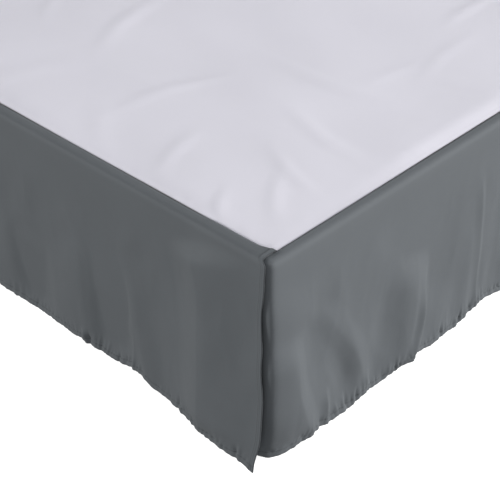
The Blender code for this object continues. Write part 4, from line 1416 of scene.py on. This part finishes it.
def dress_panel(name, node, cloth, sizes, seed):
    """Turns the cloth of a panel into its sheet and its stitching."""
    outer, inner, worked = finish_panel(cloth, sizes, seed)
    sheet = add_sheet(name, outer, inner, worked)
    sheet.data.materials.append(finished(skirt_microfibre))
    lines = line_mesh(name + "_lines", stitch_lines(outer, cloth, sizes))
    values = {
        "Pitch": sizes.stitch_pitch,
        "Stitch Length": sizes.stitch_length,
        "Thread": sizes.thread,
        "Material": finished(skirt_thread),
    }
    stitches = grown_piece(name + "_stitches", lines, stitch_tree(), values)
    for piece in (sheet, stitches):
        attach(piece, "root")
    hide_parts(node)


class BEDSKIRT_OT_base(bpy.types.Operator):
    """Build the covered box of the bed base"""

    bl_idname = "bedskirt.base"
    bl_label = "Bed Base"

    def execute(self, context):
        sizes, _ = settings()
        base = add_piece("bed_base_cover", base_mesh("bed_base_cover", sizes))
        base.data.materials.append(finished(base_weave))
        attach(base, "root")
        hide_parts("bed_base")
        return {"FINISHED"}


class BEDSKIRT_OT_legs(bpy.types.Operator):
    """Build the six legs of the bed base"""

    bl_idname = "bedskirt.legs"
    bl_label = "Legs"

    def execute(self, context):
        names = [f"leg_{side}_{place}" for side in ("left", "right") for place in ("front", "middle", "head")]
        spots = []
        for name in names:
            low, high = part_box(name)
            spots.append(((low.x + high.x) / 2, (low.y + high.y) / 2, low.z))
        pattern = add_piece("leg_pattern", leg_mesh("leg_pattern"))
        points = bpy.data.meshes.new("leg_spots")
        points.from_pydata(spots, [], [])
        material = finished(moulded_leg)
        legs = grown_piece("base_legs", points, leg_tree(), {"Leg": pattern, "Material": material})
        bpy.data.objects.remove(pattern, do_unlink=True)
        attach(legs, "root")
        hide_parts(*names)
        return {"FINISHED"}


class BEDSKIRT_OT_platform(bpy.types.Operator):
    """Build the white platform sheet and the stitching of its head hem"""

    bl_idname = "bedskirt.platform"
    bl_label = "Platform Sheet"

    def execute(self, context):
        sizes, _ = settings()
        upper, lower, worked = platform_faces(sizes)
        sheet = add_sheet("platform_sheet", upper, lower, worked)
        sheet.data.materials.append(finished(platform_weave))
        from_head = PLATFORM_HIGH.y - upper[0, :, 1]
        row = int(np.argmin(np.abs(from_head - PLATFORM_STITCH)))
        lines = line_mesh("platform_lines", [upper[4:-4, row]])
        values = {
            "Pitch": sizes.stitch_pitch,
            "Stitch Length": sizes.stitch_length,
            "Thread": sizes.thread,
            "Material": finished(platform_thread),
        }
        stitches = grown_piece("platform_stitches", lines, stitch_tree(), values)
        for piece in (sheet, stitches):
            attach(piece, "root")
        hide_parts("platform")
        return {"FINISHED"}


class BEDSKIRT_OT_side_panels(bpy.types.Operator):
    """Build the two side panels, whose free ends hang over the foot panel's wraps"""

    bl_idname = "bedskirt.side_panels"
    bl_label = "Side Panels"

    def execute(self, context):
        sizes, _ = settings()
        left = side_panel(-1, LEFT_FOLDS, LEFT_CREASES, LEFT_HEM, LEFT_FREE_EDGE, sizes, LEFT_SEEDS.cloth)
        dress_panel("side_panel_left_cloth", "side_panel_left", left, sizes, LEFT_SEEDS.hem)
        right = side_panel(1, RIGHT_FOLDS, RIGHT_CREASES, (), RIGHT_FREE_EDGE, sizes, RIGHT_SEEDS.cloth)
        dress_panel("side_panel_right_cloth", "side_panel_right", right, sizes, RIGHT_SEEDS.hem)
        return {"FINISHED"}


class BEDSKIRT_OT_foot_panel(bpy.types.Operator):
    """Build the foot panel, wrapped round both foot corners"""

    bl_idname = "bedskirt.foot_panel"
    bl_label = "Foot Panel"

    def execute(self, context):
        sizes, _ = settings()
        cloth = foot_panel(FOOT_FOLDS, FOOT_CREASES, FOOT_HEM, sizes, FOOT_SEEDS.cloth)
        dress_panel("foot_panel_cloth", "foot_panel", cloth, sizes, FOOT_SEEDS.hem)
        return {"FINISHED"}


def aimed(spot, target):
    """A rotation that looks from one point to another, with +Y up."""
    return (Vector(target) - Vector(spot)).to_track_quat("-Z", "Y").to_euler()


def add_light(name, spot, target, size, power, colour):
    light = bpy.data.lights.new(name, "AREA")
    light.shape = "DISK"
    light.size = size
    light.energy = power
    light.color = colour
    lamp = bpy.data.objects.new(name, light)
    lamp.location = spot
    lamp.rotation_euler = aimed(spot, target)
    bpy.context.scene.collection.objects.link(lamp)


def round_about(target, azimuth, elevation, distance):
    """A point round a target: azimuth 0 is towards the foot (-Y) and 90 towards the left side (-X)."""
    a = math.radians(azimuth)
    e = math.radians(elevation)
    step = (-math.sin(a) * math.cos(e), -math.cos(a) * math.cos(e), math.sin(e))
    return tuple(t + distance * s for t, s in zip(target, step))


# The lights round the corner that is seen most. size: a lamp's diameter.
Lamp = namedtuple("Lamp", "name azimuth elevation distance size colour")
LAMPS = (
    Lamp("side_light", 135.0, 15.0, 12.0, 4.5, (1.0, 0.985, 0.965)),
    Lamp("front_light", -44.0, 15.0, 7.0, 3.0, (1.0, 0.985, 0.975)),
    Lamp("fill_light", 50.0, 24.0, 5.0, 2.5, (1.0, 0.99, 0.985)),
)

# The light that hangs over the base: how far in from the corner, its height, diameter and colour
TOP_LIGHT_IN = (0.5, 0.6)
TOP_LIGHT_HEIGHT = 3.2
TOP_LIGHT_SIZE = 2.6
TOP_LIGHT_COLOUR = (0.92, 0.96, 1.0)
SURROUND_COLOUR = (0.97, 0.98, 1.0, 1.0)

# The camera: its place from the corner of the seam, and where it looks
CAMERA_FROM_CORNER = (-1.0435, -0.9547, 1.0265)
CAMERA_AZIMUTH = 46.327
CAMERA_TILT = 35.827
CORNER_HEIGHT = 0.372


class BEDSKIRT_OT_stage(bpy.types.Operator):
    """Lay the pale floor, hang the studio lights and place the camera"""

    bl_idname = "bedskirt.stage"
    bl_label = "Stage"

    def execute(self, context):
        scene = context.scene
        studio = scene.bed_skirt_studio
        corner = (PLATFORM_LOW.x, PLATFORM_LOW.y, CORNER_HEIGHT)
        mesh = bpy.data.meshes.new("studio_floor")
        bm = bmesh.new()
        bmesh.ops.create_circle(bm, cap_ends=True, segments=96, radius=FLOOR_RADIUS)
        bm.to_mesh(mesh)
        bm.free()
        floor = add_piece("studio_floor", mesh)
        mesh.materials.append(finished(studio_floor))
        floor.visible_diffuse = False
        floor.visible_glossy = False
        for lamp, power in zip(LAMPS, (studio.side_power, studio.front_power, studio.fill_power)):
            spot = round_about(corner, lamp.azimuth, lamp.elevation, lamp.distance)
            add_light(lamp.name, spot, corner, lamp.size, power, lamp.colour)
        over = (corner[0] + TOP_LIGHT_IN[0], corner[1] + TOP_LIGHT_IN[1], TOP_LIGHT_HEIGHT)
        below = (over[0], over[1], 0.0)
        add_light("top_light", over, below, TOP_LIGHT_SIZE, studio.top_power, TOP_LIGHT_COLOUR)
        world = bpy.data.worlds.new("studio_surround")
        world.use_nodes = True
        background = world.node_tree.nodes["Background"]
        background.inputs["Color"].default_value = SURROUND_COLOUR
        background.inputs["Strength"].default_value = studio.surround
        scene.world = world
        camera_data = bpy.data.cameras.new("camera")
        camera_data.sensor_width = 36.0
        camera_data.lens = studio.lens
        camera = bpy.data.objects.new("camera", camera_data)
        camera.location = tuple(c + d for c, d in zip(corner, CAMERA_FROM_CORNER))
        camera.rotation_euler = (math.radians(90.0 - CAMERA_TILT), 0.0, math.radians(-CAMERA_AZIMUTH))
        scene.collection.objects.link(camera)
        scene.camera = camera
        scene.view_settings.view_transform = "Standard"
        return {"FINISHED"}


class BEDSKIRT_PT_panel(bpy.types.Panel):
    """Sizes, colours and steps of the bed skirt"""

    bl_idname = "BEDSKIRT_PT_panel"
    bl_label = "Bed Skirt"
    bl_space_type = "VIEW_3D"
    bl_region_type = "UI"
    bl_category = "Bed Skirt"

    def draw(self, context):
        scene = context.scene
        for group in (scene.bed_skirt_sizes, scene.bed_skirt_colours, scene.bed_skirt_studio):
            box = self.layout.box()
            for name in group.bl_rna.properties.keys():
                if name not in ("rna_type", "name"):
                    box.prop(group, name)
        for operator in OPERATORS:
            self.layout.operator(operator.bl_idname)


OPERATORS = (BEDSKIRT_OT_base, BEDSKIRT_OT_legs, BEDSKIRT_OT_platform, BEDSKIRT_OT_side_panels,
             BEDSKIRT_OT_foot_panel, BEDSKIRT_OT_stage)
CLASSES = (SkirtSizes, SkirtColours, StudioSettings, *OPERATORS, BEDSKIRT_PT_panel)


def register():
    for each in CLASSES:
        bpy.utils.register_class(each)
    bpy.types.Scene.bed_skirt_sizes = PointerProperty(type=SkirtSizes)
    bpy.types.Scene.bed_skirt_colours = PointerProperty(type=SkirtColours)
    bpy.types.Scene.bed_skirt_studio = PointerProperty(type=StudioSettings)


def unregister():
    del bpy.types.Scene.bed_skirt_studio
    del bpy.types.Scene.bed_skirt_colours
    del bpy.types.Scene.bed_skirt_sizes
    for each in reversed(CLASSES):
        bpy.utils.unregister_class(each)


def main():
    register()
    bpy.ops.bedskirt.base()
    bpy.ops.bedskirt.legs()
    bpy.ops.bedskirt.platform()
    bpy.ops.bedskirt.side_panels()
    bpy.ops.bedskirt.foot_panel()
    bpy.ops.bedskirt.stage()


if __name__ == "__main__":
    main()
